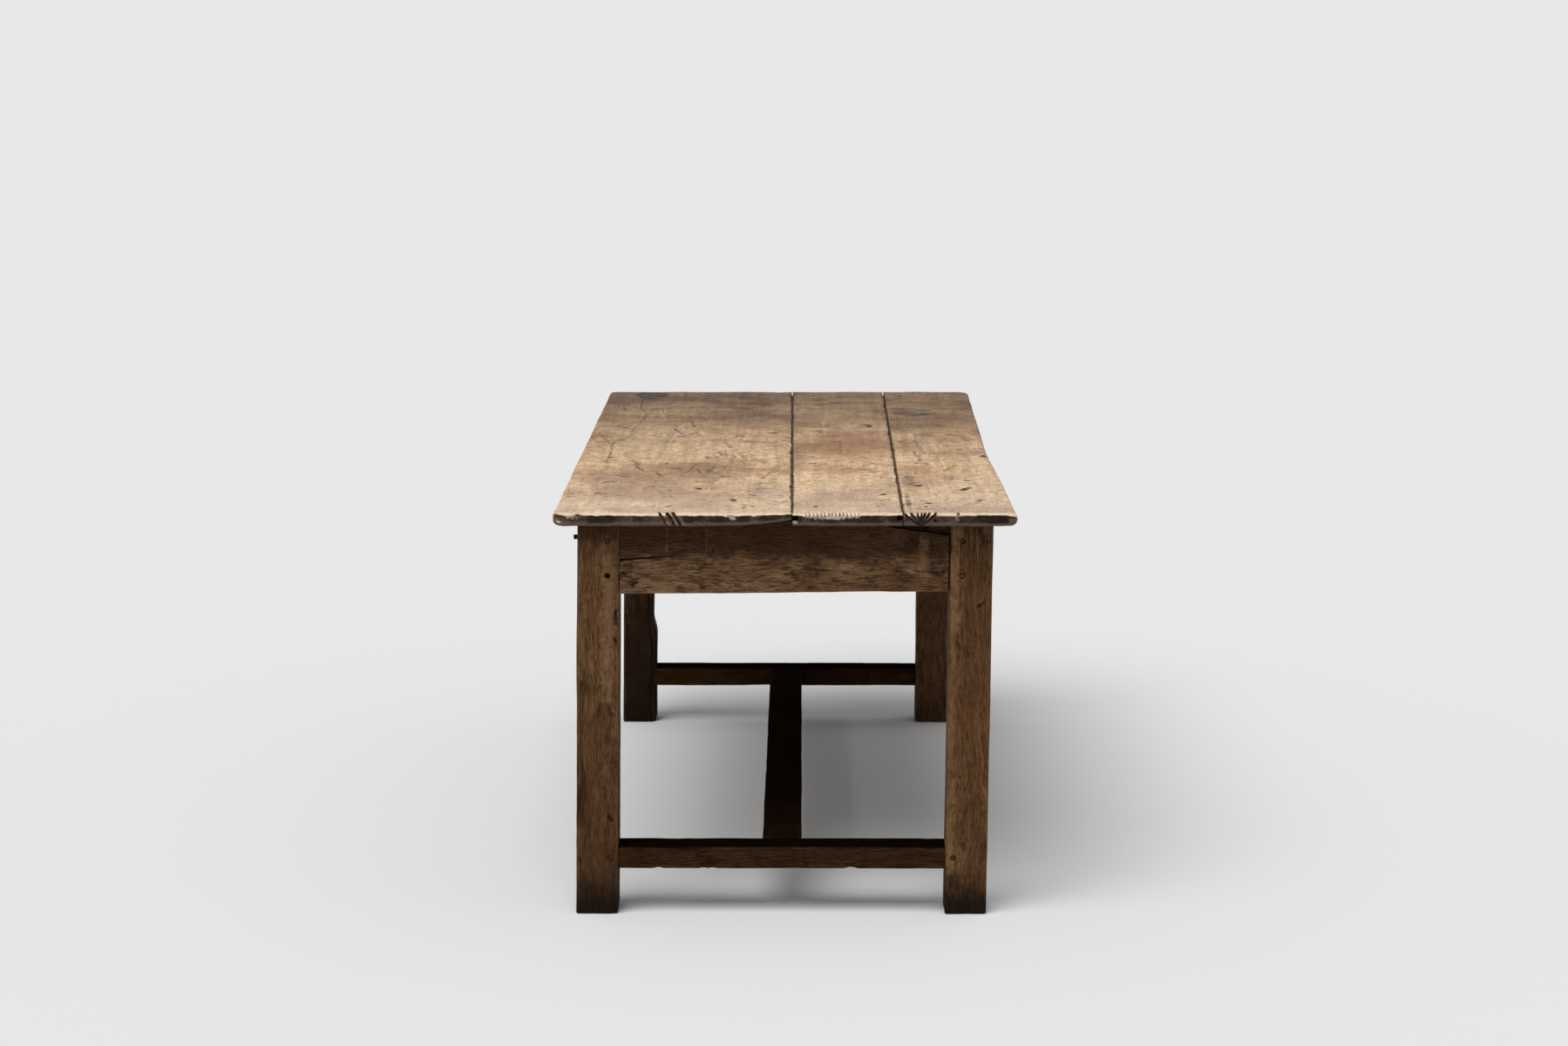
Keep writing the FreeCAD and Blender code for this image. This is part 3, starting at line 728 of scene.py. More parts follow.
@dataclass(frozen=True)
class DarkOak(Finish):
    """The frame: dark brown, dry oak with open grain, dirty towards the floor."""

    light: Colour = paint(120, 89, 59)
    middle: Colour = paint(89, 63, 40)
    deep: Colour = paint(59, 38, 23)
    warm: Colour = paint(80, 50, 28)
    # painted shade where under 1 and painted light where over 1, multiplied into the whole colour
    shade: float = 1.0
    gloss: float = 0.05
    # height under the top above which patina and painted shadow of the top darken the wood
    dark_above: float | None = None
    dirt_share: float = 0.5
    foot_share: float = 0.0  # how much darker the end near the floor is
    grime_share: float = 0.2
    grime_from: float = 0.3  # upward part of the normal at which grime begins to lie
    ring_share: float = 0.05
    pore_share: float = 0.6
    crack_share: float = 0.6
    gouge: Colour = paint(26, 17, 11)
    pale_streak: Colour = paint(150, 116, 82)
    pore: Colour = paint(38, 25, 16)
    crack: Colour = paint(20, 13, 9)
    speck: Colour = paint(30, 20, 13)
    dirt: Colour = paint(40, 26, 16)
    patina_and_shadow: Colour = paint(50, 30, 16)
    grime: Colour = paint(18, 12, 8)
    foot_dark: Colour = paint(14, 9, 6)
    end_wood: Colour = paint(46, 33, 23)
    dirt_reach: float = 0.65  # height above the floor
    patina_and_shadow_edge: tuple[float, float] = (-0.008, 0.010)  # where it begins and is full, from dark_above
    foot_reach: tuple[float, float] = (0.015, 0.100)  # height to which it is full, and where it ends

    def material(self) -> Material:
        """Builds the material.

        Returns:
            The material.
        """
        material, w, shader = self.begin()
        place, moved, turned = self.places(w)
        grain = w.group(Effects.oak_grain(), Grain_Place=turned, Ring_Count=260.0)
        age = w.group(Effects.age(), Place=moved, Size=1.3)
        figure = w.summed(w.times(age["Blotch"], 0.25), (
            (grain["Fibre"], 0.5), (age["Mottle"], 0.14), (grain["Streaks"], 0.10),
            (grain["Rings"], self.ring_share)))
        colour = self.wood_colour(w, grain, age, figure)
        colour = self.dirt_colour(w, age, colour, place)

        wobbled = self.wobbled(w, place)
        dark = joined_mask(w, wobbled, self.dark_marks, w.span(age["Mottle"], 0.40, 0.58, 0.3, 1.1))
        if dark is not None:
            colour = w.blend(dark, colour, self.gouge)
        pale = joined_mask(w, wobbled, self.pale_marks)
        if pale is not None:
            colour = w.blend(pale, colour, self.pale_streak)
        # painted shade or light: the colour times shade
        if self.shade != 1.0:
            colour = w.blend(1.0, colour, (self.shade, self.shade, self.shade, 1.0), "MULTIPLY")
        w.feed(shader.inputs["Base Color"], colour)

        w.feed(shader.inputs["Roughness"], w.span(figure, 0.35, 0.65, 0.78, 0.58))
        shader.inputs["Specular IOR Level"].default_value = self.gloss
        depths = [(grain["Fibre"], 0.8), (grain["Pores"], -0.6), (grain["Cracks"], -1.8 * self.crack_share)]
        if dark is not None:
            depths.append((dark, -1.2))
        height = w.summed(w.times(age["Dents"], 0.7), depths)
        self.bump(w, shader, height, distance=0.0014, strength=0.7)
        return material

    def wood_colour(self, w: Wiring, grain: Sockets, age: Sockets, figure: Socket) -> Socket:
        """Builds the colour of the dry oak itself.

        Args:
            w: the material's wiring.
            grain: the values of the grain.
            age: the values of the age.
            figure: the value that runs from dark to light wood.

        Returns:
            The colour.
        """
        colour = w.ramp(figure, ((0.38, self.deep), (0.50, self.middle), (0.62, self.light)))
        colour = w.blend(w.span(age["Tone"], 0.42, 0.62, 0.0, 0.55), colour, self.warm)
        colour = w.blend(w.span(age["Blotch"], 0.52, 0.68, 0.0, 0.35), colour, self.deep)
        colour = w.blend(w.times(grain["Pores"], self.pore_share), colour, self.pore)
        colour = w.blend(w.times(grain["Cracks"], self.crack_share), colour, self.crack)
        return w.blend(w.times(age["Specks"], 0.4), colour, self.speck)

    def dirt_colour(self, w: Wiring, age: Sockets, colour: Socket, place: Socket) -> Socket:
        """Adds the dirt near the floor and on upper faces, the patina and painted shadow of the top above
        dark_above, the wear of the arrises and the darker end near the floor.

        Args:
            w: the material's wiring.
            age: the values of the age.
            colour: the colour of the wood.
            place: the place on the table.

        Returns:
            The colour.
        """
        blotch = age["Blotch"]
        arris = w.attribute("arris")
        end, up = self.end_grain(w)
        height = w.parts(place)[2]
        level = w.times_plus(w.centred(blotch), 0.16, height)
        colour = w.blend(w.span(level, 0.0, self.dirt_reach, self.dirt_share, 0.0), colour, self.dirt)
        # patina and painted shadow of the top on the upper part
        if self.dark_above is not None:
            level = w.times_plus(w.centred(blotch), 0.07, height)
            begins, full = (self.dark_above + edge for edge in self.patina_and_shadow_edge)
            shadow_share = w.span(level, begins, full, 0.0, 0.75)
            colour = w.blend(shadow_share, colour, self.patina_and_shadow)
        ragged = w.span(w.times_plus(w.centred(blotch), 2.0, arris), 0.5, 1.0)
        colour = w.blend(w.times(ragged, 0.3), colour, self.light)
        grime = w.span(up, self.grime_from, self.grime_from + 0.5, 0.0, self.grime_share)
        colour = w.blend(grime, colour, self.grime)
        if self.foot_share:
            level = w.times_plus(w.centred(blotch), 0.06, height)
            colour = w.blend(w.span(level, *self.foot_reach, self.foot_share, 0.0), colour, self.foot_dark)
        return w.blend(w.times(end, 0.6), colour, self.end_wood)


@dataclass(frozen=True)
class PegOak(Finish):
    """The pegs: small and dark."""

    deep: Colour = paint(24, 16, 10)
    middle: Colour = paint(46, 32, 21)
    light: Colour = paint(76, 55, 36)

    def material(self) -> Material:
        """Builds the material.

        Returns:
            The material.
        """
        material, w, shader = self.begin()
        _, moved, _ = self.places(w)
        age = w.group(Effects.age(), Place=moved, Size=2.5)
        colour = w.ramp(age["Mottle"], ((0.35, self.deep), (0.5, self.middle), (0.65, self.light)))
        w.feed(shader.inputs["Base Color"], colour)
        w.feed(shader.inputs["Roughness"], w.span(age["Mottle"], 0.3, 0.7, 0.75, 0.6))
        shader.inputs["Specular IOR Level"].default_value = 0.05
        self.bump(w, shader, age["Dents"], distance=0.001, strength=0.6)
        return material


@dataclass(frozen=True)
class Wear:
    """How worn a timber is, in metres."""

    arris: float = 0.003  # bevel that the joiner left
    reach: float = 0.012  # how far in from an edge the wear goes
    rounding: float = 0.0016
    chips: float = 0.005
    chip_from: float = 0.25  # how ragged an arris has to be before it is chipped
    chip_length: float = 0.03
    wave: float = 0.0009
    wave_length: float = 0.07
    stretch: float = 4.0  # how much longer waves and chips are along the grain


@dataclass(frozen=True)
class Dent:
    """A chip or dent: where it is, how far round it reaches and how deep it goes."""

    place: Vector
    reach: float
    depth: float
    ragged: float = 0.35
    steep: float = 1.6

    @classmethod
    def on_front(cls, y: float, rows: Sequence[tuple[float, float, float, float]]) -> tuple["Dent", ...]:
        """Makes dents on the upright face at y from rows of two pixel coordinates, reach and depth."""
        return tuple(cls(CAMERA.on_upright(row[:2], y), *row[2:]) for row in rows)


@dataclass
class Timber:
    """One sawn timber: a block between two corners, worn by use, then shaped to its place."""

    name: str
    low: Vector
    high: Vector
    grain: Grain
    finish: Finish
    slot: Slot
    spacing: Vector
    wear: Wear = field(default_factory=Wear)
    seed: float = 0.0
    leaning: bool = True
    cutters: list[BMesh] = field(default_factory=list)
    dents: tuple[Dent, ...] = ()
    shouldered: bool = False  # its ends stand against other timbers and have kept their edges

    def block(self) -> BMesh:
        """Makes the bevelled and divided block, before any wear.

        Returns:
            The block.
        """
        bm = bmesh.new()
        add_box(bm, self.low, self.high)
        bmesh.ops.bevel(bm, geom=self.arrises(bm), offset=self.wear.arris, offset_type="OFFSET", segments=3,
                        profile=0.5, affect="EDGES", material=-1)
        for axis in range(3):
            self.divide(bm, axis)
        return bm

    def arrises(self, bm: BMesh) -> list[BMEdge]:
        """Gives the edges that are bevelled, without those of shouldered ends.

        Args:
            bm: the plain block.

        Returns:
            Its edges.
        """
        if not self.shouldered:
            return bm.edges[:]
        along = self.grain.value
        return [e for e in bm.edges if abs(e.verts[1].co[along] - e.verts[0].co[along]) > SAME]

    def divide(self, bm: BMesh, axis: int) -> None:
        """Cuts the long edges along one axis to the timber's spacing.

        Args:
            bm: the block.
            axis: the axis, from 0 to 2.
        """
        step = self.spacing[axis]
        edges = []
        for edge in bm.edges:
            run = edge.verts[1].co - edge.verts[0].co
            if run.length > step and abs(run[axis]) > STRAIGHT * run.length:
                edges.append(edge)
        if edges:
            cuts = int(max(e.calc_length() for e in edges) / step)
            bmesh.ops.subdivide_edges(bm, edges=edges, cuts=cuts, use_grid_fill=True)

    def weather(self, bm: BMesh) -> None:
        """Wears the block's arrises and faces, and keeps how near each point is to an arris.

        Args:
            bm: the block.
        """
        wear = self.wear
        layer = bm.verts.layers.float.new("arris")
        along = self.grain.value
        seed = Vector((self.seed * 7.3, self.seed * 3.1, self.seed * 5.7))
        for vert in bm.verts:
            co = vert.co
            core = Vector(
                min(max(c, lo + wear.reach), hi - wear.reach) if hi - lo > 2 * wear.reach else (lo + hi) / 2
                for c, lo, hi in zip(co, self.low, self.high)
            )
            out = self.bare(co - core)
            halves = [min(wear.reach, (hi - lo) / 2) for lo, hi in zip(self.low, self.high)]
            shares = sorted((abs(o) / half for o, half in zip(out, halves)), reverse=True)
            edge = min(1.0, shares[0] * shares[1])
            vert[layer] = edge
            place = co.copy()
            place[along] /= wear.stretch
            wave = noise.fractal(place / wear.wave_length + seed, 0.8, 2.0, 4)
            ragged = noise.fractal(place / wear.chip_length - seed, 0.7, 2.1, 4)
            chipped = wear.chips * max(0.0, ragged - wear.chip_from)
            worn = edge ** 3 * (wear.rounding * (1.0 + ragged) + chipped)
            for dent in self.dents:
                near = 1.0 - (co - dent.place).length / dent.reach + dent.ragged * ragged
                if near > 0:
                    worn += dent.depth * min(1.0, dent.steep * near)
            vert.co = co + out.normalized() * (wear.wave * wave - worn)

    def bare(self, out: Vector) -> Vector:
        """Gives a point's way out of the timber's core without what runs into other timbers.

        Args:
            out: the way from the core to the point.

        Returns:
            What is left of it.
        """
        left = out.copy()
        if self.shouldered:
            left[self.grain.value] = 0.0
        return left

    def shape(self, co: Vector) -> Vector:
        """Brings a point of the upright block to its place on the table."""
        return Vector((co.x + RACK.at(co.z), co.y, co.z)) if self.leaning else co

    def extras(self, bm: BMesh) -> None:
        """Adds what else belongs to the piece. A plain timber has nothing more."""

    def build(self) -> Object:
        """Makes the piece and puts it in its node's place.

        Returns:
            The piece.
        """
        bm = self.block()
        self.weather(bm)
        for vert in bm.verts:
            vert.co = self.shape(vert.co)
        piece = new_piece(self.name + "_wood", bm)
        carve(piece, self.cutters)
        soften(piece, self.extras)
        self.mark(piece)
        piece.data.materials.clear()
        piece.data.materials.append(self.finish.material())
        settle(piece, self.slot, self.name)
        return piece

    def mark(self, piece: Object) -> None:
        """Stains the piece. A plain timber has none."""


def add_box(bm: BMesh, low: Vector, high: Vector) -> list[BMVert]:
    """Adds a plain box to a shape.

    Args:
        bm: the shape.
        low: the box's lower corner.
        high: its upper corner.

    Returns:
        The box's points.
    """
    made = bmesh.ops.create_cube(bm, size=1.0)["verts"]
    bmesh.ops.scale(bm, vec=high - low, verts=made)
    bmesh.ops.translate(bm, vec=(low + high) / 2, verts=made)
    return made


def new_piece(name: str, bm: BMesh) -> Object:
    """Makes an object of a bmesh, which it frees.

    Args:
        name: the object's name.
        bm: its shape.

    Returns:
        The object.
    """
    mesh = bpy.data.meshes.new(name)
    bm.to_mesh(mesh)
    bm.free()
    piece = bpy.data.objects.new(name, mesh)
    bpy.context.scene.collection.objects.link(piece)
    return piece


def carve(piece: Object, cutters: Iterable[BMesh]) -> None:
    """Cuts shapes out of a piece, one after another, and leaves no modifier on it.

    Args:
        piece: the piece.
        cutters: the shapes, which are used up.
    """
    tools = [new_piece("cutter", cutter) for cutter in cutters]
    if not tools:
        return
    for tool in tools:
        cut = piece.modifiers.new("cut", "BOOLEAN")
        cut.operation = "DIFFERENCE"
        cut.solver = "MANIFOLD"
        cut.object = tool
    depsgraph = bpy.context.evaluated_depsgraph_get()
    carved = bpy.data.meshes.new_from_object(piece.evaluated_get(depsgraph))
    piece.modifiers.clear()
    whole, piece.data = piece.data, carved
    bpy.data.meshes.remove(whole)
    for tool in tools:
        mesh = tool.data
        bpy.data.objects.remove(tool)
        bpy.data.meshes.remove(mesh)


def soften(piece: Object, extras: Callable[[BMesh], None] | None = None) -> None:
    """Adds the extras of a piece, if any, and shades it smooth with its sharp edges kept.

    Args:
        piece: the piece.
        extras: adds to its shape.
    """
    bm = bmesh.new()
    bm.from_mesh(piece.data)
    if extras:
        extras(bm)
    for face in bm.faces:
        face.smooth = True
    for edge in bm.edges:
        edge.smooth = edge.calc_face_angle(0.0) < SHARP_ANGLE
    bm.to_mesh(piece.data)
    bm.free()


def settle(piece: Object, slot: Slot, *nodes: str) -> None:
    """Lets a piece ride on the table in place of its nodes.

    Args:
        piece: the piece.
        slot: its material slot, which is not used.
        nodes: the nodes it stands for.
    """
    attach(piece, "root")
    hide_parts(*nodes)
    LOG.info("%s: %d faces for %s", piece.name, len(piece.data.polygons), ", ".join(nodes))


def stick(size: Sequence[float], turn: Matrix, place: Vector, point_share: float = 1.0) -> BMesh:
    """Makes a cutting block that can taper to its lower end.

    Args:
        size: its width, depth and height.
        turn: how it is turned.
        place: where its middle goes.
        point_share: how much of its width is left at its lower end.

    Returns:
        The block.
    """
    bm = bmesh.new()
    bmesh.ops.create_cube(bm, size=1.0)
    low = [v for v in bm.verts if v.co.z < 0]
    bmesh.ops.scale(bm, vec=(point_share, 1.0, 1.0), verts=low)
    bmesh.ops.scale(bm, vec=size, verts=bm.verts)
    bmesh.ops.transform(bm, matrix=Matrix.Translation(place) @ turn.to_4x4(), verts=bm.verts)
    return bm


def bore(radius: float, depth: float, mouth: Vector, inward: Vector) -> BMesh:
    """Makes the cutter of a round hole.

    Args:
        radius: the hole's radius.
        depth: its depth.
        mouth: the middle of its mouth.
        inward: the way in.

    Returns:
        The cutter.
    """
    bm = bmesh.new()
    bmesh.ops.create_cone(bm, cap_ends=True, segments=20, radius1=radius, radius2=radius, depth=2 * depth)
    turn = UP.rotation_difference(inward).to_matrix().to_4x4()
    bmesh.ops.transform(bm, matrix=Matrix.Translation(mouth) @ turn, verts=bm.verts)
    return bm


@dataclass(frozen=True)
class PegPlace:
    """Where a peg of the frame is: its head, the way it goes in, its length and its radius."""

    head: Vector
    inward: Vector
    length: float
    radius: float

    @classmethod
    def all_of(cls, node: str, outside: Callable[[Vector], float]) -> list["PegPlace"]:
        """Reads the pegs of a node.

        Args:
            node: a node of separate pegs.
            outside: gives a larger value the nearer a point is to the outside of the table.

        Returns:
            Their places.
        """
        bm = bmesh.new()
        bm.from_mesh(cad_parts[node].data)
        bmesh.ops.remove_doubles(bm, verts=bm.verts, dist=WELD)
        places, left = [], set(bm.verts)
        while left:
            island, front = set(), [next(iter(left))]
            while front:
                vert = front.pop()
                if vert in island:
                    continue
                island.add(vert)
                front.extend(e.other_vert(vert) for e in vert.link_edges)
            left -= island
            low = Vector(min(v.co[i] for v in island) for i in range(3))
            high = Vector(max(v.co[i] for v in island) for i in range(3))
            size = high - low
            axis = max(range(3), key=lambda i: size[i])
            middle = (low + high) / 2
            ends = [middle.copy(), middle.copy()]
            ends[0][axis], ends[1][axis] = low[axis], high[axis]
            head, tip = sorted(ends, key=outside, reverse=True)
            places.append(cls(head, (tip - head).normalized(), size[axis], sorted(size)[0] / 2))
        bm.free()
        return sorted(places, key=lambda p: tuple(round(c, 4) for c in p.head))


@dataclass
class Pegs:
    """A group of whittled pegs, each a little different and let in by its own amount."""

    node: str
    outside: Callable[[Vector], float]
    finish: PegOak
    let_in: float = 0.0032
    spread: float = 0.0012
    sides: int = 11
    loose: tuple[int, float] | None = None  # which peg has worked its way out, and how far
    head_share: float = 0.98  # of the hole's radius, as are the other shares
    tip_share: float = 0.7
    inset_share: float = 0.3
    dome_share: float = 0.16
    batter_share: float = 0.05
    batter_pace: float = 260.0
    hit_pace: float = 31.0

    def places(self) -> list[PegPlace]:
        """Gives where the pegs are."""
        return PegPlace.all_of(self.node, self.outside)

    def build(self) -> Object:
        """Makes the group as one piece.

        Returns:
            The piece.
        """
        whole = bmesh.new()
        for number, place in enumerate(self.places()):
            self.add_peg(whole, place, number)
        piece = new_piece(self.node + "_oak", whole)
        soften(piece)
        piece.data.materials.append(self.finish.material())
        settle(piece, Slot.PEG, self.node)
        return piece

    def add_peg(self, whole: BMesh, place: PegPlace, number: int) -> None:
        """Adds one peg: a faceted shaft with a domed, battered head.

        Args:
            whole: the group's shape.
            place: where the peg is.
            number: its number.
        """
        radius = place.radius
        made = bmesh.ops.create_cone(whole, cap_ends=True, segments=self.sides, depth=place.length,
                                     radius1=radius * self.head_share, radius2=radius * self.tip_share)
        verts = made["verts"]
        faces = {face for vert in verts for face in vert.link_faces}
        head_face = next(face for face in faces if all(vert.co.z < 0 for vert in face.verts))
        inner = bmesh.ops.inset_region(whole, faces=[head_face], thickness=radius * self.inset_share,
                                       depth=radius * self.dome_share)
        domed = [v for f in inner["faces"] for v in f.verts] + list(head_face.verts)
        verts = list({*verts, *domed})
        hit = noise.noise(place.head * self.hit_pace)
        proud = -self.let_in + self.spread * hit
        if self.loose and self.loose[0] == number:
            proud = self.loose[1]
        for vert in verts:
            jitter = noise.noise(vert.co * self.batter_pace + Vector((number * 3.7, 0.0, 0.0)))
            vert.co.x += jitter * radius * self.batter_share
            vert.co.y -= jitter * radius * self.batter_share
        turn = UP.rotation_difference(place.inward).to_matrix().to_4x4()
        middle = place.head + place.inward * (place.length / 2 - proud)
        bmesh.ops.transform(whole, matrix=Matrix.Translation(middle) @ turn, verts=verts)


def edge_line(node: str, side: int) -> list[tuple[float, float]]:
    """Reads the outline of a plank on one side from the frame.

    Args:
        node: the plank.
        side: -1 for its left edge and 1 for its right edge.

    Returns:
        Places along the edge as y and x, from front to back.
    """
    low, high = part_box(node)
    edge: dict[float, float] = {}
    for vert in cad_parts[node].data.vertices:
        outward = side * (vert.co.x - (low.x + high.x) / 2)
        if outward > 0 and abs(vert.co.z - (high.z - ARRIS_DROP)) < ARRIS_DROP / 4:
            y = round(vert.co.y, 4)
            edge[y] = side * max(side * edge.get(y, vert.co.x), side * vert.co.x)
    return sorted(edge.items())


def along_line(line: Sequence[tuple[float, float]], y: float) -> float:
    """Gives the x of an outline at y, straight between its places.

    Args:
        line: places as y and x, from front to back.
        y: where to look.

    Returns:
        The x there.
    """
    ys = [place[0] for place in line]
    at = min(max(bisect_right(ys, y), 1), len(line) - 1)
    (y0, x0), (y1, x1) = line[at - 1], line[at]
    share = min(max((y - y0) / (y1 - y0), 0.0), 1.0)
    return x0 + share * (x1 - x0)


@dataclass(frozen=True)
class Stain:
    """A soft stain on the top, in the box of the photograph that it fills."""

    left_far: Pixel
    right_near: Pixel
    strength: float = 1.0
    rosy: bool = False


@dataclass
class Plank(Timber):
    """A plank of the top, with its outline read from the frame."""

    stains: tuple[Stain, ...] = ()
    tongue: tuple[Vector, Vector] | None = None
    planed: tuple[float, float, float] | None = None  # depth, width and length of a corner planed away below
    left_round: tuple[float, float, float] = (0.0, 0.0, 0.0)  # width, fall of the top, rise of the underside
    right_round: tuple[float, float, float] = (0.0, 0.0, 0.0)
    planed_bend: float = 1.25
    seam_reach: float = 0.3  # how far from the middle of the table the seams are at most
    end_room: float = 0.0005  # past the bevel, for the points along a worn end
    stain_depth: float = 0.006  # how far below the upper face a point is still stained
    stain_fade: float = 1.45  # where a stain has ended, in shares of its half length
    left_line: list[tuple[float, float]] = field(default_factory=list)
    right_line: list[tuple[float, float]] = field(default_factory=list)

    def __post_init__(self) -> None:
        """Reads the plank's outline."""
        self.left_line = edge_line(self.name, -1)
        self.right_line = edge_line(self.name, 1)

    def arrises(self, bm: BMesh) -> list[BMEdge]:
        """Gives the edges that are bevelled, which are all but those of the sides at the seams.

        Args:
            bm: the plain block.

        Returns:
            Its edges.
        """
        bevelled = []
        for edge in bm.edges:
            first, second = (v.co.x for v in edge.verts)
            if abs(second - first) > SAME or abs(first) > self.seam_reach:
                bevelled.append(edge)
        return bevelled

    def bare(self, out: Vector) -> Vector:
        """Gives a point's way out of the core, which leaves out the next plank towards the ends.

        Args:
            out: the way from the core to the point.

        Returns:
            What is left of it.
        """
        left = out.copy()
        side = self.low.x if out.x < 0 else self.high.x
        if abs(side) < self.seam_reach:
            left.x *= 1.0 - min(1.0, abs(out.y) / self.wear.reach)
        return left

    def block(self) -> BMesh:
        """Makes the block with more points along its worn ends.

        Returns:
            The block.
        """
        bm = super().block()
        reach = self.wear.arris + self.end_room
        ends = []
        for edge in bm.edges:
            run = edge.verts[1].co - edge.verts[0].co
            at_end = all(v.co.y < self.low.y + reach or v.co.y > self.high.y - reach for v in edge.verts)
            if at_end and abs(run.x) > STRAIGHT * run.length > self.spacing.x / 2:
                ends.append(edge)
        bmesh.ops.subdivide_edges(bm, edges=ends, cuts=1, use_grid_fill=True)
        return bm

    def shape(self, co: Vector) -> Vector:
        """Fits a point between the two edges, and lifts it where the plank is planed away.

        Args:
            co: a point of the block.

        Returns:
            Its place.
        """
        left, right = along_line(self.left_line, co.y), along_line(self.right_line, co.y)
        share = (co.x - self.low.x) / (self.high.x - self.low.x)
        placed = Vector((left + share * (right - left), co.y, co.z))
        if self.planed:
            depth, width, length = self.planed
            lift = 1.0 - (right - placed.x) / width - (co.y - self.low.y) / length
            if lift > 0:
                thickness = self.high.z - self.low.z
                floor = self.low.z + depth * lift ** self.planed_bend
                placed.z = floor + (co.z - self.low.z) / thickness * (self.high.z - floor)
        sides = ((placed.x - left, self.left_round), (right - placed.x, self.right_round))
        for gap, (width, fall, rise) in sides:
            if 0.0 < width > gap:
                bend = 1.0 - math.sqrt(1.0 - (1.0 - max(gap, 0.0) / width) ** 2)
                share = (placed.z - self.low.z) / (self.high.z - self.low.z)
                placed.z += bend * (rise * (1.0 - share) - fall * share)
        return placed

    def extras(self, bm: BMesh) -> None:
        """Adds the tongue that stands in the next plank's groove.

        Args:
            bm: the plank's shape.
        """
        if self.tongue:
            made = add_box(bm, *self.tongue)
            side = self.right_line if self.low.x < 0 else self.left_line
            middle = (side[0][1] + side[-1][1]) / 2
            for vert in made:
                vert.co.x += along_line(side, vert.co.y) - middle

    def mark(self, piece: Object) -> None:
        """Keeps how stained and how rosy each point of the upper face is.

        Args:
            piece: the plank.
        """
        mesh = piece.data
        for label, rosy in (("stain", False), ("blush", True)):
            values = [0.0] * len(mesh.vertices)
            for stain in (s for s in self.stains if s.rosy is rosy):
                far = CAMERA.on_level(stain.left_far, self.high.z)
                near = CAMERA.on_level(stain.right_near, self.high.z)
                middle = (far + near) / 2
                half_x, half_y = abs(near.x - far.x) / 2, abs(near.y - far.y) / 2
                for index, vert in enumerate(mesh.vertices):
                    if vert.co.z > self.high.z - self.stain_depth:
                        gap = math.hypot((vert.co.x - middle.x) / half_x, (vert.co.y - middle.y) / half_y)
                        share = min(1.0, max(0.0, self.stain_fade - gap))
                        values[index] = max(values[index], stain.strength * share)
            mesh.attributes.new(label, "FLOAT", "POINT").data.foreach_set("value", values)


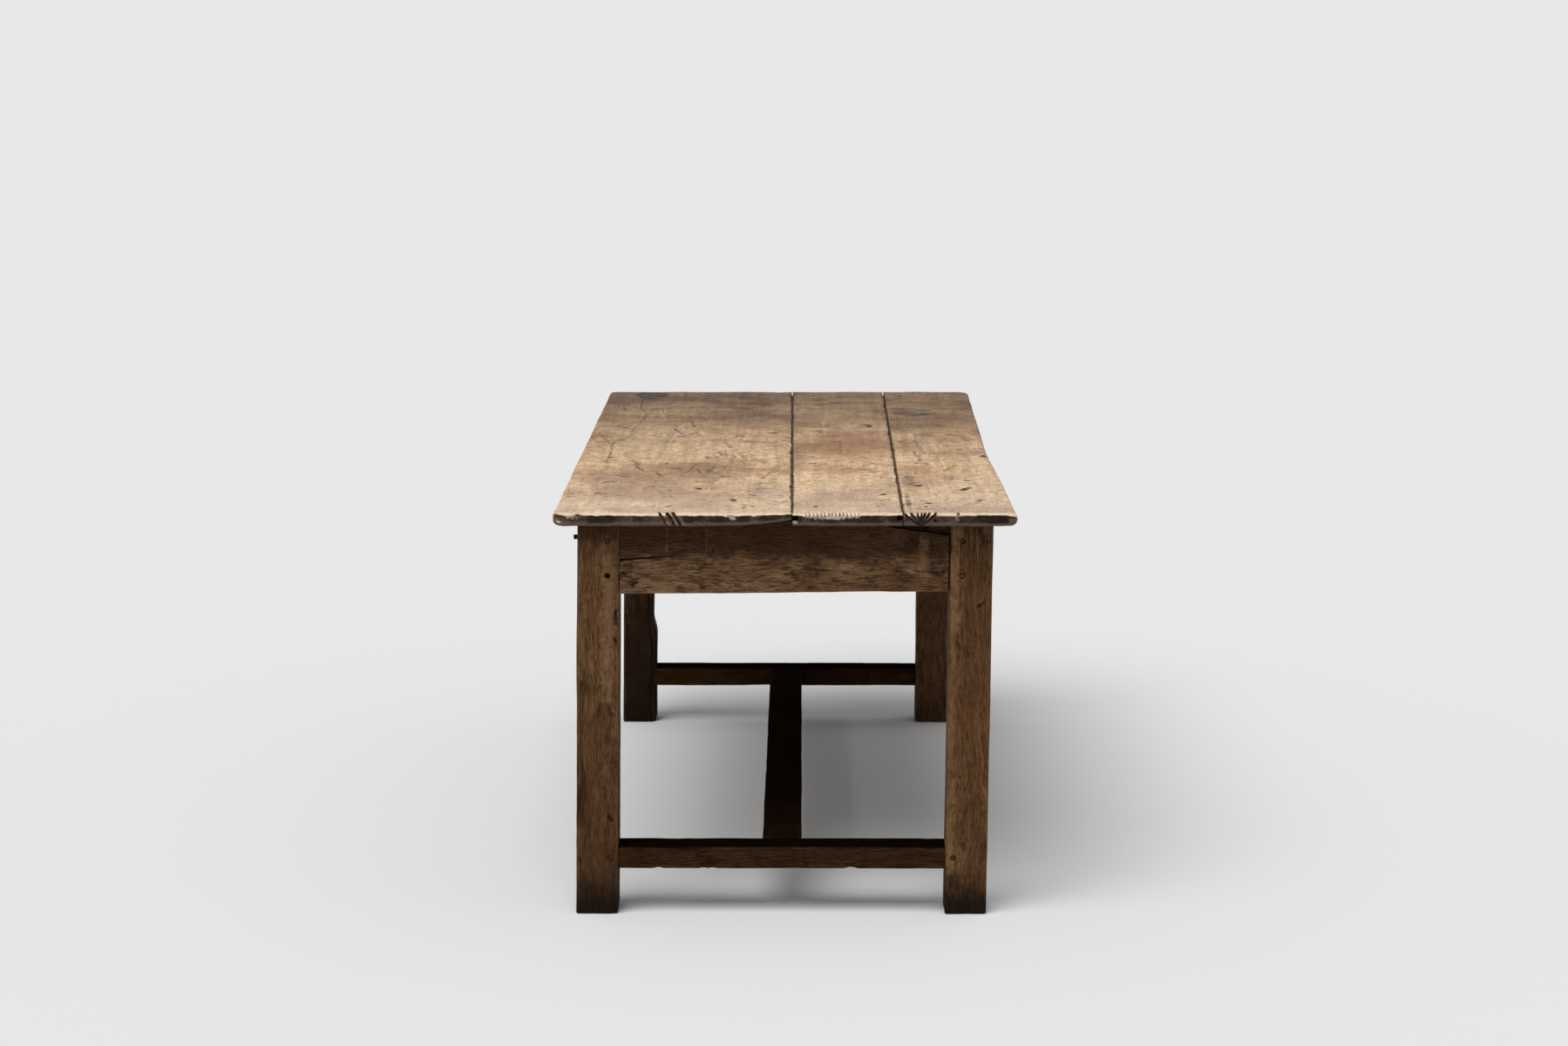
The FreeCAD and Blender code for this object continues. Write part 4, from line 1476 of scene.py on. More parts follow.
class TableTop:
    """The three planks, the marks of use on them, and their pegs."""

    spacing = Vector((0.005, 0.005, 0.004))
    tongue_thickness = 0.008
    tongue_reach = 0.010
    tongue_setback = 0.025
    tongue_drop = 0.010
    groove_room = 0.0006
    groove_length_share = 1.1
    planed_corner = (0.0115, 0.095, 0.34)
    left_round = (0.020, 0.002, 0.006)
    right_round = (0.014, 0.007, 0.009)
    wear = Wear(arris=0.004, reach=0.011, rounding=0.0013, chips=0.0042, chip_length=0.022, wave=0.0011,
                wave_length=0.09, stretch=2.2)
    dash_inset_share = 0.28
    cut_tip = math.radians(-8)
    cut_overrun = 0.004
    cut_point_share = 0.5
    nick_count = 15
    nick_first = 924.5  # in pixels, as are the other places of the nicks and the fan
    nick_step = 4.3
    nick_stray = 1.2
    nick_slant = 0.5
    nick_top = 588.8
    nick_foot = 592.6
    nick_foot_stray = 1.8
    nick_width = 0.0014
    nick_depth = 0.004
    fan_top = 589.2
    fan_foot = (1056.5, 603)
    fan_foot_share = 0.12  # how much of the fan's spread is left at its foot
    fan_depth = 0.0055
    notch = ((1099.5, 589), (1098.5, 597.5), 0.0055, 0.003)
    small_hole = (1073, 597)
    small_radius = 0.0024
    small_depth = 0.006
    peg_let_in = 0.0003
    peg_spread = 0.0004
    open_slits = (
        ((798, 559.9), (806, 561)), ((991, 486.9), (998.5, 487.9)), ((996.5, 487.4), (999, 489.8)),
        ((1104, 562.2), (1109, 560.6)), ((1108, 560.8), (1114, 559.4)), ((1125, 524), (1131, 522.8)),
    )
    shallow_slits = (
        ((684, 566.5), (690, 566.2)), ((860, 568), (867, 568.2)), ((932, 494.3), (945, 494.6)),
        ((1086.5, 498.2), (1093, 498.5)), ((1062, 577.2), (1067.5, 577.5)), ((1121, 575.3), (1126, 574.4)),
        ((1105.5, 551.6), (1112, 551.4)), ((839, 573), (843, 574.6)), ((713, 490.2), (722, 490.4)),
        ((880, 497), (893, 496.6)), ((790, 497.2), (800, 496.8)), ((764, 581.4), (772, 581)),
        ((971, 470.4), (976, 470.6)), ((1010, 567.8), (1016, 567)), ((1051, 558.2), (1058, 556.4)),
    )
    faint_slits = (
        ((709, 505.1), (718, 505)), ((841, 470.7), (850, 470.9)), ((842, 500.6), (855, 500.8)),
        ((808, 524.2), (826, 524.4)), ((828, 525.6), (842, 525.8)), ((770, 538.2), (784, 538.2)),
        ((827, 546.2), (838, 546.3)), ((847, 546.2), (860, 546)), ((693, 552.8), (706, 552.9)),
        ((698, 524.3), (709, 524)), ((827, 565), (831, 565.6)), ((852, 451.2), (860, 451.3)),
        ((741, 453.8), (763, 454.2)), ((738, 450), (764, 450.6)), ((955, 491.4), (965, 491.2)),
        ((928, 532), (936, 531.8)), ((967, 538), (977, 537.6)), ((979, 562), (986, 562.4)),
        ((1077, 479.3), (1084, 479.3)), ((1027, 455.8), (1040, 456.2)),
    )
    slit_kinds = ((open_slits, 0.0072, 2.5), (shallow_slits, 0.0068, 1.7), (faint_slits, 0.0080, 0.95))
    curl_runs = (
        ((799.6, 533), (794, 536.5), (788.6, 541.8)), ((820.8, 534.5), (812, 541.8)),
        ((800.3, 538.9), (804.7, 543.3)), ((885.4, 541.8), (873.7, 549.2)),
        ((825.3, 518.4), (828.2, 522.7)), ((832.6, 508), (838.4, 514)), ((848.7, 519.8), (853, 524.2)),
        ((773.9, 492), (782.7, 497.8)), ((794.5, 484.6), (797.3, 490.5)),
        ((708, 545.5), (715, 547), (722, 546)), ((1097, 533.6), (1088, 537.5), (1083, 540.6)),
        ((1049, 517), (1050.5, 524)), ((1053, 522), (1056, 529)), ((1060, 530), (1066, 534)),
        ((833.5, 510.5), (836.5, 512.2)), ((831.5, 521.8), (835.5, 524)), ((841, 522), (844, 524.5)),
        ((809.5, 524), (812.5, 526.2), (816, 525.4)), ((838, 527.5), (841.5, 531.5)),
        ((834.4, 534.7), (831.4, 537.7)), ((845.3, 538.6), (861.7, 537.7)), ((751, 539.5), (757.5, 546)),
    )
    torn_runs = (
        ((724.5, 528.5), (730.5, 532)), ((728, 533), (732, 537.5)), ((735, 537.5), (737.5, 540.5)),
        ((708.5, 545), (711.5, 545.8)), ((716, 543.5), (717.5, 547)),
    )
    curl_kinds = ((curl_runs, 0.0042, 0.6), (torn_runs, 0.0070, 0.4))
    # half width, strength and pixels of each mark
    crack_rows = (
        (0.0034, 0.6, (738.6, 456.8), (735.7, 468.3), (742.4, 475.9), (734.8, 485.5),
         (727.1, 493.1), (723.3, 500.8), (706.1, 506.5), (702.3, 510.4), (701.3, 519.9),
         (694.6, 530.4)),
        (0.0036, 0.65, (735, 464), (722, 462.6), (716, 465), (716, 469.6),
         (720, 471.8), (735, 472.2)),
        (0.0030, 0.65, (689.8, 498.9), (706.1, 514.2)),
        (0.0022, 0.3, (761.6, 456.8), (760.6, 475.9)),
        (0.0066, 0.8, (725.5, 528.4), (731.5, 531), (731, 535.6), (735.5, 539)),
        (0.0032, 0.42, (1050, 497), (1050.5, 507), (1056, 513), (1062, 521)),
        (0.0042, 0.65, (1104, 471.2), (1117, 474.2)),
        (0.0036, 0.6, (1030.5, 545), (1043, 546.4)),
        (0.0024, 0.4, (964, 506), (964.6, 518)),
        (0.0024, 0.35, (973, 515.5), (973.2, 520.5)),
    )
    scratch_rows = (
        (0.0026, 0.4, (786, 491), (778, 498), (771, 504), (765.5, 511)),
        (0.0024, 0.5, (1035, 547), (1043, 556)),
        (0.0024, 0.5, (1046, 570), (1047.5, 584)),
        (0.0022, 0.35, (757, 470), (764, 482)),
        (0.0050, 1.6, (907.9, 509.4), (908.1, 511)),
        (0.0040, 1.2, (908.4, 567.8), (908.5, 569)),
        (0.0045, 1.2, (1024.8, 545.2), (1025.2, 546.2)),
    )
    end_light_rows = {
        "plank_wide": (
            (0.0036, 0.13, (761.5, 590), (768.5, 603)),
            (0.0030, 0.14, (770, 590), (778.5, 603)),
            (0.0032, 0.10, (777, 590), (785, 603)),
            (0.0060, 0.4, (652, 592), (660, 593)),
            (0.0050, 0.4, (838, 593), (842, 595)),
        ),
        "plank_middle": (
            (0.0068, 0.6, (922, 590.6), (955, 592.6), (972, 592), (984, 590.2)),
            (0.0040, 0.4, (912, 598.5), (913, 600.5)),
        ),
        "plank_narrow": (
            (0.0030, 0.14, (1041, 590), (1055, 602)),
            (0.0030, 0.14, (1049, 590), (1056, 602)),
            (0.0030, 0.14, (1064, 590), (1057, 602)),
            (0.0030, 0.14, (1070, 590), (1058, 602)),
            (0.0042, 0.35, (1099, 590), (1098.5, 597)),
            (0.0042, 0.4, (1035.5, 593), (1036.5, 596)),
        ),
    }
    stains = (
        Stain((734, 448.5), (764, 457.5), 2.0),
        Stain((770, 452), (905, 470), 0.42),
        Stain((770, 540), (852, 553), 0.42),
        Stain((845, 548), (908, 572), 0.38),
        Stain((1019, 466), (1074, 481), 0.75),
        Stain((1046, 490), (1084, 506), 0.50),
        Stain((1098, 500), (1120, 508), 0.46),
        Stain((1031, 544), (1053, 562), 0.75),
        Stain((1035, 562), (1049, 588), 0.72),
        Stain((915, 452), (1010, 470), 0.38),
        Stain((690, 578), (722, 589), 0.44),
        Stain((940, 494), (1018, 530), 0.85, rosy=True),
        Stain((932, 530), (990, 546), 0.55, rosy=True),
        Stain((692, 466), (700, 484), 0.70, rosy=True),
        Stain((1040, 562), (1066, 572), 0.50, rosy=True),
        Stain((1080, 530), (1112, 548), 0.35, rosy=True),
    )
    # pixels of the upper and the lower end, width and depth of each cut
    saw_cuts = (
        ((756.5, 589), (764.5, 603), 0.0046, 0.006),
        ((765, 588.5), (774, 603.5), 0.0062, 0.007),
        ((771.5, 588), (781, 604), 0.0062, 0.009),
    )
    # pixel, reach and depth of each chip
    wide_chips = (
        (636, 596, 0.010, 0.0035), (655, 591, 0.009, 0.0032), (661, 592, 0.006, 0.0022),
        (684, 590, 0.006, 0.0018), (726, 596, 0.005, 0.0014), (836, 590, 0.008, 0.0026),
        (841, 592, 0.006, 0.0026), (829, 590, 0.005, 0.0016), (870, 590, 0.006, 0.0014),
    )
    fan_tops = (1037, 1045.5, 1052.5, 1057.5, 1061.5, 1066.5, 1074)
    fan_widths = (0.0044, 0.0048, 0.0030, 0.0026, 0.0034, 0.0040, 0.0042)

    def __init__(self) -> None:
        """Reads the planks' levels from the frame."""
        low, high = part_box("plank_middle")
        self.under, self.over = low.z, high.z
        self.front, self.back = low.y, high.y

    def slits(self) -> list[Stroke]:
        """Gives the short dark slits and open knots that the photograph shows on the top."""
        return [self.dash(run, width, strength) for runs, width, strength in self.slit_kinds for run in runs]

    def dash(self, run: tuple[Pixel, Pixel], half_width: float, strength: float) -> Stroke:
        """Makes a short dark mark of the top, which is broad for its length.

        Args:
            run: the pixels at which the mark begins and ends.
            half_width: half its width.
            strength: how dark it is.

        Returns:
            The stroke, drawn in from the ends by its own width.
        """
        (left, first), (right, last) = run
        inset = self.dash_inset_share * (right - left)
        return Stroke.on_top(self.over, half_width, strength, (left + inset, first), (right - inset, last))

    def curls(self) -> list[Stroke]:
        """Gives the short brown curls of torn grain in the outer planks."""
        return [Stroke.on_top(self.over, width, strength, *run)
                for runs, width, strength in self.curl_kinds for run in runs]

    def trails(self) -> list[Stroke]:
        """Gives the long wandering cracks and scratches of the top."""
        return [Stroke.on_top(self.over, *row) for row in self.crack_rows]

    def scratches(self) -> list[Stroke]:
        """Gives the pale scratches of the top."""
        return [Stroke.on_top(self.over, *row) for row in self.scratch_rows]

    def front_cut(self, top: Pixel, bottom: Pixel, width: float, depth: float) -> BMesh:
        """Makes the cutter of a knife cut on the front end.

        Args:
            top: its upper pixel.
            bottom: its lower pixel.
            width: its width.
            depth: its depth.

        Returns:
            The cutter.
        """
        start, end = CAMERA.on_upright(top, self.front), CAMERA.on_upright(bottom, self.front)
        lean = Matrix.Rotation(math.atan2(start.x - end.x, start.z - end.z), 3, "Y")
        tip = Matrix.Rotation(self.cut_tip, 3, "X")
        size = (width, 2 * depth, (start - end).length + self.cut_overrun)
        return stick(size, lean @ tip, (start + end) / 2, self.cut_point_share)

    def wide_cuts(self) -> list[BMesh]:
        """Gives the three slanting saw cuts on the wide plank's end."""
        return [self.front_cut(*cut) for cut in self.saw_cuts]

    def middle_cuts(self) -> list[BMesh]:
        """Gives the grooves of the middle plank and the row of knife nicks on its end.

        Returns:
            The cutters.
        """
        thickness = self.tongue_thickness + self.groove_room
        z = self.over - self.tongue_drop
        cuts = []
        for side in (-1, 1):
            line = edge_line("plank_middle", side)
            depth = self.tongue_reach
            bm = bmesh.new()
            bmesh.ops.create_cube(bm, size=1.0)
            length = self.groove_length_share * (self.back - self.front)
            bmesh.ops.scale(bm, vec=(2 * depth, length, thickness), verts=bm.verts)
            bmesh.ops.translate(bm, vec=(0.0, 0.0, z), verts=bm.verts)
            for vert in bm.verts:
                vert.co.x += line[0][1] if vert.co.y < 0 else line[-1][1]
            cuts.append(bm)
        for number in range(self.nick_count):
            stray = noise.noise(Vector((number * 1.9, 0.0, 0.0)))
            x = self.nick_first + self.nick_step * number + self.nick_stray * stray
            foot = self.nick_foot + self.nick_foot_stray * noise.noise(Vector((number * 2.7, 4.0, 0.0)))
            ends = (x, self.nick_top), (x + self.nick_slant, foot)
            cuts.append(self.front_cut(*ends, self.nick_width, self.nick_depth))
        return cuts

    def narrow_cuts(self) -> list[BMesh]:
        """Gives the fan of knife cuts, the notch and the small hole on the narrow plank's end.

        Returns:
            The cutters.
        """
        foot_x, foot_y = self.fan_foot
        cuts = []
        for top, width in zip(self.fan_tops, self.fan_widths):
            low = (foot_x + (top - foot_x) * self.fan_foot_share, foot_y)
            cuts.append(self.front_cut((top, self.fan_top), low, width, self.fan_depth))
        cuts.append(self.front_cut(*self.notch))
        mouth = CAMERA.on_upright(self.small_hole, self.front)
        cuts.append(bore(self.small_radius, self.small_depth, mouth, Vector((0.0, 1.0, 0.0))))
        return cuts

    def plank(self, name: str, seed: float, cutters: list[BMesh], **more: object) -> Plank:
        """Sets out one plank.

        Args:
            name: its node.
            seed: sets its grain apart.
            cutters: what is cut out of it.
            more: further fields of the plank.

        Returns:
            The plank.
        """
        low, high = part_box(name)
        dark = tuple(s for s in self.slits() + self.trails() + self.curls() if s.touches(low, high))
        pale = tuple(s for s in self.scratches() if s.touches(low, high))
        pale += Stroke.all_on_front(self.front, self.end_light_rows[name])
        finish = ScrubbedOak(name + "_scrubbed", Grain.LENGTHWISE, seed, dark, pale, over=self.over)
        return Plank(name, low, high, Grain.LENGTHWISE, finish, Slot.TOP, self.spacing, self.wear, seed,
                     leaning=False, cutters=cutters, stains=self.stains, **more)

    def tongue_of(self, side_x: float) -> tuple[Vector, Vector]:
        """Gives the corners of a tongue that reaches both ways from a seam.

        Args:
            side_x: the x of the seam.

        Returns:
            Its lower and upper corner.
        """
        half = self.tongue_thickness / 2
        z = self.over - self.tongue_drop
        reach = self.tongue_reach
        return (Vector((side_x - reach, self.front + self.tongue_setback, z - half)),
                Vector((side_x + reach, self.back - self.tongue_setback, z + half)))

    def build(self) -> None:
        """Makes the planks and their pegs."""
        wide_edge, narrow_edge = edge_line("plank_wide", 1), edge_line("plank_narrow", -1)
        seams = [(line[0][1] + line[-1][1]) / 2 for line in (wide_edge, narrow_edge)]
        chips = Dent.on_front(self.front, self.wide_chips)
        self.plank("plank_wide", 1.3, self.wide_cuts(), dents=chips, tongue=self.tongue_of(seams[0]),
                   planed=self.planed_corner, left_round=self.left_round).build()
        self.plank("plank_middle", 4.1, self.middle_cuts()).build()
        self.plank("plank_narrow", 7.7, self.narrow_cuts(), tongue=self.tongue_of(seams[1]),
                   right_round=self.right_round).build()
        finish = PegOak("top_peg_oak", Grain.UPRIGHT, 2.0)
        for name in ("wide", "middle", "narrow"):
            Pegs("pegs_plank_" + name, lambda p: p.z, finish, self.peg_let_in, self.peg_spread).build()


@dataclass
class Leg(Timber):
    """A square leg, with its peg holes and, at the back left, a bark edge."""

    wane: tuple[float, float] | None = None  # width at the floor and at the top
    hollow: float = 0.0085  # how much thinner the leg is above the foot of its bark edge
    hollow_heights: tuple[float, float, float] = (0.200, 0.245, 0.60)  # its beginning, full depth and end
    wane_waver: float = 0.28
    wane_pace: float = 9.0

    def hollowed(self, co: Vector) -> Vector:
        """Draws in the right half of the leg along the bark edge.

        Args:
            co: a point of the upright leg.

        Returns:
            The point, moved to the left.
        """
        start, full, end = self.hollow_heights
        rise = min(1.0, max(0.0, (co.z - start) / (full - start)))
        fade = min(1.0, max(0.0, (end - co.z) / (end - full)))
        middle = (self.low.x + self.high.x) / 2
        share = max(0.0, (co.x - middle) / (self.high.x - middle))
        depth = self.hollow * rise * rise * (3.0 - 2.0 * rise) * math.sqrt(fade) * share
        return co - Vector((depth, 0.0, 0.0))

    def shape(self, co: Vector) -> Vector:
        """Leans a point, cuts it back to the bark edge and keeps it off the floor.

        Args:
            co: a point of the upright leg.

        Returns:
            Its place.
        """
        if self.wane:
            co = self.hollowed(co)
            share = co.z / self.high.z
            width = self.wane[0] + share * (self.wane[1] - self.wane[0])
            waver = noise.fractal(Vector((1.7, 0.4, co.z * self.wane_pace)), 0.8, 2.0, 3)
            width *= 1.0 + self.wane_waver * waver
            past = (co.x - self.high.x) - (co.y - self.low.y) + width
            if past > 0:
                co = co + Vector((-past / 2, past / 2, 0.0))
        leaned = super().shape(co)
        leaned.z = max(leaned.z, 0.0)
        return leaned


@dataclass
class EndApron(Timber):
    """An end apron, which may be deeper at its left end and show its tenon at a shrunk shoulder."""

    fall: float = 0.0  # how much deeper it is at its left end
    tenon: float = 0.0  # how far its tenon shows at its right end
    tenon_set_back: tuple[float, float] = (0.015, 0.004)  # from its front and its back

    def shape(self, co: Vector) -> Vector:
        """Lowers a point towards the lower left corner, then leans it.

        Args:
            co: a point of the upright apron.

        Returns:
            Its place.
        """
        down = (self.high.z - co.z) / (self.high.z - self.low.z)
        left = (self.high.x - co.x) / (self.high.x - self.low.x)
        return super().shape(Vector((co.x, co.y, co.z - self.fall * down * left)))

    def extras(self, bm: BMesh) -> None:
        """Adds the part of the tenon that shows at the shrunk shoulder.

        Args:
            bm: the apron's shape.
        """
        if self.tenon:
            front, back = self.tenon_set_back
            low = Vector((self.high.x - self.wear.reach, self.low.y + front, self.low.z + self.wear.arris))
            high = Vector((self.high.x + self.tenon, self.high.y - back, self.high.z - self.wear.arris))
            for vert in add_box(bm, low, high):
                vert.co = self.shape(vert.co)


class TableFrame:
    """The legs, aprons, stretchers and bearers, with their pegs."""

    leg_spacing = Vector((0.0055, 0.0055, 0.007))
    end_spacing = Vector((0.006, 0.006, 0.006))
    side_spacing = Vector((0.007, 0.010, 0.007))
    stretcher_spacing = Vector((0.0055, 0.0055, 0.0055))
    long_spacing = Vector((0.006, 0.008, 0.006))
    bearer_spacing = Vector((0.009, 0.008, 0.008))
    leg_wear = Wear(reach=0.013, chips=0.006, chip_length=0.02, wave=0.0010, wave_length=0.05, stretch=5.0)
    end_wear = Wear(arris=0.002, reach=0.010, rounding=0.0012, chips=0.004, chip_length=0.02, wave=0.0010,
                    wave_length=0.05, stretch=5.0)
    side_wear = Wear(arris=0.002)
    stretcher_wear = Wear(rounding=0.0003, chips=0.0035, chip_length=0.024, wave_length=0.06, stretch=3.5)
    hole_room = 0.0008
    loose_peg = 0.0036  # how far one peg of the front left leg stands out
    # painted shade on the back left leg, whose high dirt share below also darkens it to the shade it stands
    # in, and painted light on the back right leg
    leg_shades = {"leg_back_left": 0.54, "leg_back_right": 1.22}
    leg_dirt = {"leg_front_left": 0.42, "leg_front_right": 0.08, "leg_back_left": 0.95}
    # height above which patina and painted shadow of the top darken the front left leg
    leg_dark_above = {"leg_front_left": 0.690}
    leg_feet = {"leg_front_left": 0.9, "leg_front_right": 0.9, "leg_back_left": 0.3, "leg_back_right": 0.3}
    leg_seeds = {"leg_front_left": 2.0, "leg_front_right": 3.4, "leg_back_left": 5.1, "leg_back_right": 6.5}
    # height above which patina and painted shadow of the top darken the front apron
    apron_dark_above = 0.657
    apron_tones = {"light": paint(140, 109, 80), "middle": paint(106, 79, 56), "deep": paint(68, 46, 30)}
    # painted shade on the stretchers, which stand in the shade of the table
    stretcher_shades = {"front": 0.48, "back": 0.45}
    long_shade = 0.55
    hole_depth = 0.016
    hole_reach = Vector((0.01, 0.01, 0.01))  # how far from a leg's box its pegs' heads may be
    bark_overlap = 0.010  # how far the back stretcher runs in behind the bark edge of its left leg
    wane = (0.0145, 0.023)
    apron_fall = 0.0042
    tenon_room = 0.0002
    corner_drop = 0.027
    corner_length = 0.23
    corner_bend = 1.32
    corner_depth = 0.013
    corner_over = 0.02
    corner_length_share = 1.1
    corner_rough = 0.0016
    corner_pace = 9.0
    corner_cuts = 24
    split_ends = ((704, 642.8), (772, 638))
    split_width = 0.0052
    split_depth = 0.03
    split_point_share = 0.25
    # half width, strength and pixels of each mark
    leg_mark_rows = {
        "leg_front_left": (
            (0.0044, 4.0, (706.8, 700), (705.4, 708), (706.4, 715)),
            (0.0046, 2.4, (705.4, 732), (705.6, 739)),
            (0.0024, 0.6, (690.4, 680), (690.2, 685)),
            (0.0040, 0.5, (691, 906), (693.5, 905)),
            (0.0060, 0.9, (699.5, 937), (701, 941)),
            (0.0050, 0.8, (663.5, 984), (665.5, 1000)),
            (0.0050, 0.7, (699, 812), (703, 822), (700, 836)),
            (0.0120, 0.4, (666, 786), (672, 790)),
        ),
        "leg_front_right": (
            (0.0044, 0.8, (1104.5, 969), (1106.5, 976)),
            (0.0020, 1.1, (1102.6, 620), (1102.2, 657), (1101.5, 700)),
            (0.0040, 1.0, (1122, 696), (1128, 693), (1133, 688)),
            (0.0160, 0.6, (1116, 610), (1130, 622)),
            (0.0026, 0.32, (1136, 650), (1130, 660), (1126.5, 676), (1125, 690)),
            (0.0026, 0.32, (1136, 664), (1132, 674), (1130.5, 688)),
            (0.0026, 0.28, (1135, 640), (1127, 650), (1122, 668), (1119.5, 690)),
            (0.0032, 1.6, (1096.6, 736), (1097.2, 738)),
            (0.0140, 0.45, (1100, 742), (1112, 750)),
        ),
        "leg_back_left": (
            (0.0090, 0.8, (746, 680), (750.5, 756), (751, 828)),
        ),
    }
    leg_light_rows = {
        "leg_front_left": ((0.016, 0.25, (700, 640), (696, 800)),),
        "leg_front_right": ((0.0125, 0.36, (1096, 604), (1095, 720)),
                            (0.0080, 0.24, (1093.5, 720), (1090, 1000))),
    }
    knot_rows = (
        (0.0075, 0.75, (802, 654), (809, 648)), (0.0070, 1.3, (806, 668), (807, 673)),
        (0.0120, 0.55, (912, 658), (930, 654)), (0.0085, 0.6, (934, 650), (937, 659)),
        (0.0085, 0.7, (1001, 652), (1006, 646)), (0.0120, 0.8, (711, 654), (724, 650)),
        (0.0110, 1.1, (712, 660), (726, 668)), (0.0050, 2.0, (708.5, 660), (709.5, 664)),
        (0.0040, 1.2, (818, 632), (820, 633)), (0.0036, 2.2, (901, 659), (902, 659.4)),
        (0.0150, 0.5, (1031, 656), (1039, 667)), (0.0130, 0.8, (1042, 628), (1052, 624)),
        (0.0100, 0.6, (1068, 624), (1070, 654)), (0.0160, 0.6, (1074, 632), (1082, 654)),
        (0.0060, 0.9, (1066, 656), (1086, 656)), (0.0080, 0.8, (996, 666), (1003, 672)),
        (0.0100, 0.35, (872, 647), (886, 651)), (0.0060, 0.4, (744, 661), (758, 664)),
    )
    drip_rows = (
        (0.0034, 0.24, (765.5, 606), (765.2, 638)), (0.0024, 0.18, (810.5, 606), (810.4, 634)),
        (0.0120, 0.26, (1060, 622), (1061, 664)),
    )
    # pixel, reach and depth of each chip
    stretcher_chips = (
        (822, 993, 0.012, 0.005), (812, 995, 0.009, 0.004), (917, 979, 0.006, 0.003),
        (931, 989, 0.008, 0.004), (760, 996, 0.012, 0.003), (980, 995, 0.014, 0.003),
    )

    def __init__(self) -> None:
        """Reads the main places from the frame."""
        self.front_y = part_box("leg_front_left")[0].y
        self.back_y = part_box("leg_back_left")[0].y
        self.apron_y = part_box("apron_front")[0].y
        self.stretcher_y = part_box("stretcher_front")[0].y
        self.pegs = {
            "pegs_apron_front": lambda p: -p.y,
            "pegs_apron_back": lambda p: p.y,
            "pegs_apron_left": lambda p: -p.x,
            "pegs_apron_right": lambda p: p.x,
            "pegs_stretcher_front": lambda p: -p.y,
            "pegs_stretcher_back": lambda p: p.y,
            "pegs_stretcher_long": lambda p: p.z,
        }

    def upright(self, node: str) -> tuple[Vector, Vector]:
        """Gives a node's corners with the frame stood upright."""
        low, high = (corner - Vector((RACK.at(corner.z), 0.0, 0.0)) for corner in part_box(node))
        return low, high

    def holes(self, node: str) -> list[BMesh]:
        """Gives the cutters of the peg holes in a leg, the empty one included.

        Args:
            node: the leg.

        Returns:
            The cutters.
        """
        low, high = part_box(node)
        places = [p for name, outside in self.pegs.items() for p in PegPlace.all_of(name, outside)]
        front_pegs = PegPlace.all_of("pegs_apron_front", self.pegs["pegs_apron_front"])
        lower = min(front_pegs, key=lambda p: p.head.z)
        lean = RACK.at(lower.head.z)
        places.append(PegPlace(Vector((2 * lean - lower.head.x, lower.head.y, lower.head.z)), lower.inward,
                               lower.length, lower.radius))
        inside = [p for p in places
                  if all(lo - r < c < hi + r for c, lo, hi, r in zip(p.head, low, high, self.hole_reach))]
        return [bore(p.radius + self.hole_room, self.hole_depth, p.head, p.inward) for p in inside]

    def leg_marks(self, node: str) -> tuple[Stroke, ...]:
        """Gives the knots and gouges on the front faces of the legs."""
        y = self.back_y if node == "leg_back_left" else self.front_y
        return Stroke.all_on_front(y, self.leg_mark_rows.get(node, ()))

    def leg_lights(self, node: str) -> tuple[Stroke, ...]:
        """Gives the paler streaks on the faces of the front legs."""
        return Stroke.all_on_front(self.front_y, self.leg_light_rows.get(node, ()))

    def legs(self) -> None:
        """Makes the four legs."""
        for node, seed in self.leg_seeds.items():
            low, high = self.upright(node)
            finish = DarkOak(
                node + "_oak", Grain.UPRIGHT, seed, self.leg_marks(node), self.leg_lights(node),
                shade=self.leg_shades.get(node, 1.0), dark_above=self.leg_dark_above.get(node),
                dirt_share=self.leg_dirt.get(node, 0.5), foot_share=self.leg_feet[node])
            wane = self.wane if node == "leg_back_left" else None
            Leg(node, low, high, Grain.UPRIGHT, finish, Slot.FRAME, self.leg_spacing, self.leg_wear, seed,
                cutters=self.holes(node), wane=wane).build()

    def aprons(self) -> None:
        """Makes the four aprons between the legs."""
        inner_low, inner_high = self.between_legs()
        for end in ("front", "back"):
            node = "apron_" + end
            low, high = self.upright(node)
            gap = self.shoulder_gap(node)
            low.x, high.x = inner_low.x, inner_high.x - gap
            front = end == "front"
            knots, drips = (Stroke.all_on_front(self.apron_y, rows if front else ())
                            for rows in (self.knot_rows, self.drip_rows))
            finish = DarkOak(
                node + "_oak", Grain.ACROSS, 9.0 if front else 12.5, knots, drips, **self.apron_tones,
                pore_share=0.75, dark_above=self.apron_dark_above if front else None,
                crack_share=0.1 if front else 0.6)
            cutters = [self.apron_split(), self.waney_corner(low, high)] if front else []
            EndApron(node, low, high, Grain.ACROSS, finish, Slot.FRAME, self.end_spacing, self.end_wear, 9.0,
                     cutters=cutters, shouldered=True, fall=self.apron_fall if front else 0.0,
                     tenon=gap - self.tenon_room if front else 0.0).build()
        for side, seed in (("left", 15.0), ("right", 19.7)):
            node = "apron_" + side
            low, high = self.upright(node)
            low.y, high.y = inner_low.y, inner_high.y
            finish = DarkOak(node + "_oak", Grain.LENGTHWISE, seed)
            Timber(node, low, high, Grain.LENGTHWISE, finish, Slot.FRAME, self.side_spacing, self.side_wear,
                   seed, shouldered=True).build()

    def between_legs(self) -> tuple[Vector, Vector]:
        """Gives the corners of the space between the legs, with the frame stood upright."""
        left, right = self.upright("leg_front_left"), self.upright("leg_back_right")
        return left[1], right[0]

    def shoulder_gap(self, node: str) -> float:
        """Reads how far a shrunk shoulder stands off the right leg.

        Args:
            node: the end apron.

        Returns:
            The gap.
        """
        low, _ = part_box(node)
        face = [v.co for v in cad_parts[node].data.vertices if abs(v.co.y - low.y) < FLUSH]
        reach = max(co.x - RACK.at(co.z) for co in face)
        return max(0.0, self.between_legs()[1].x - reach)

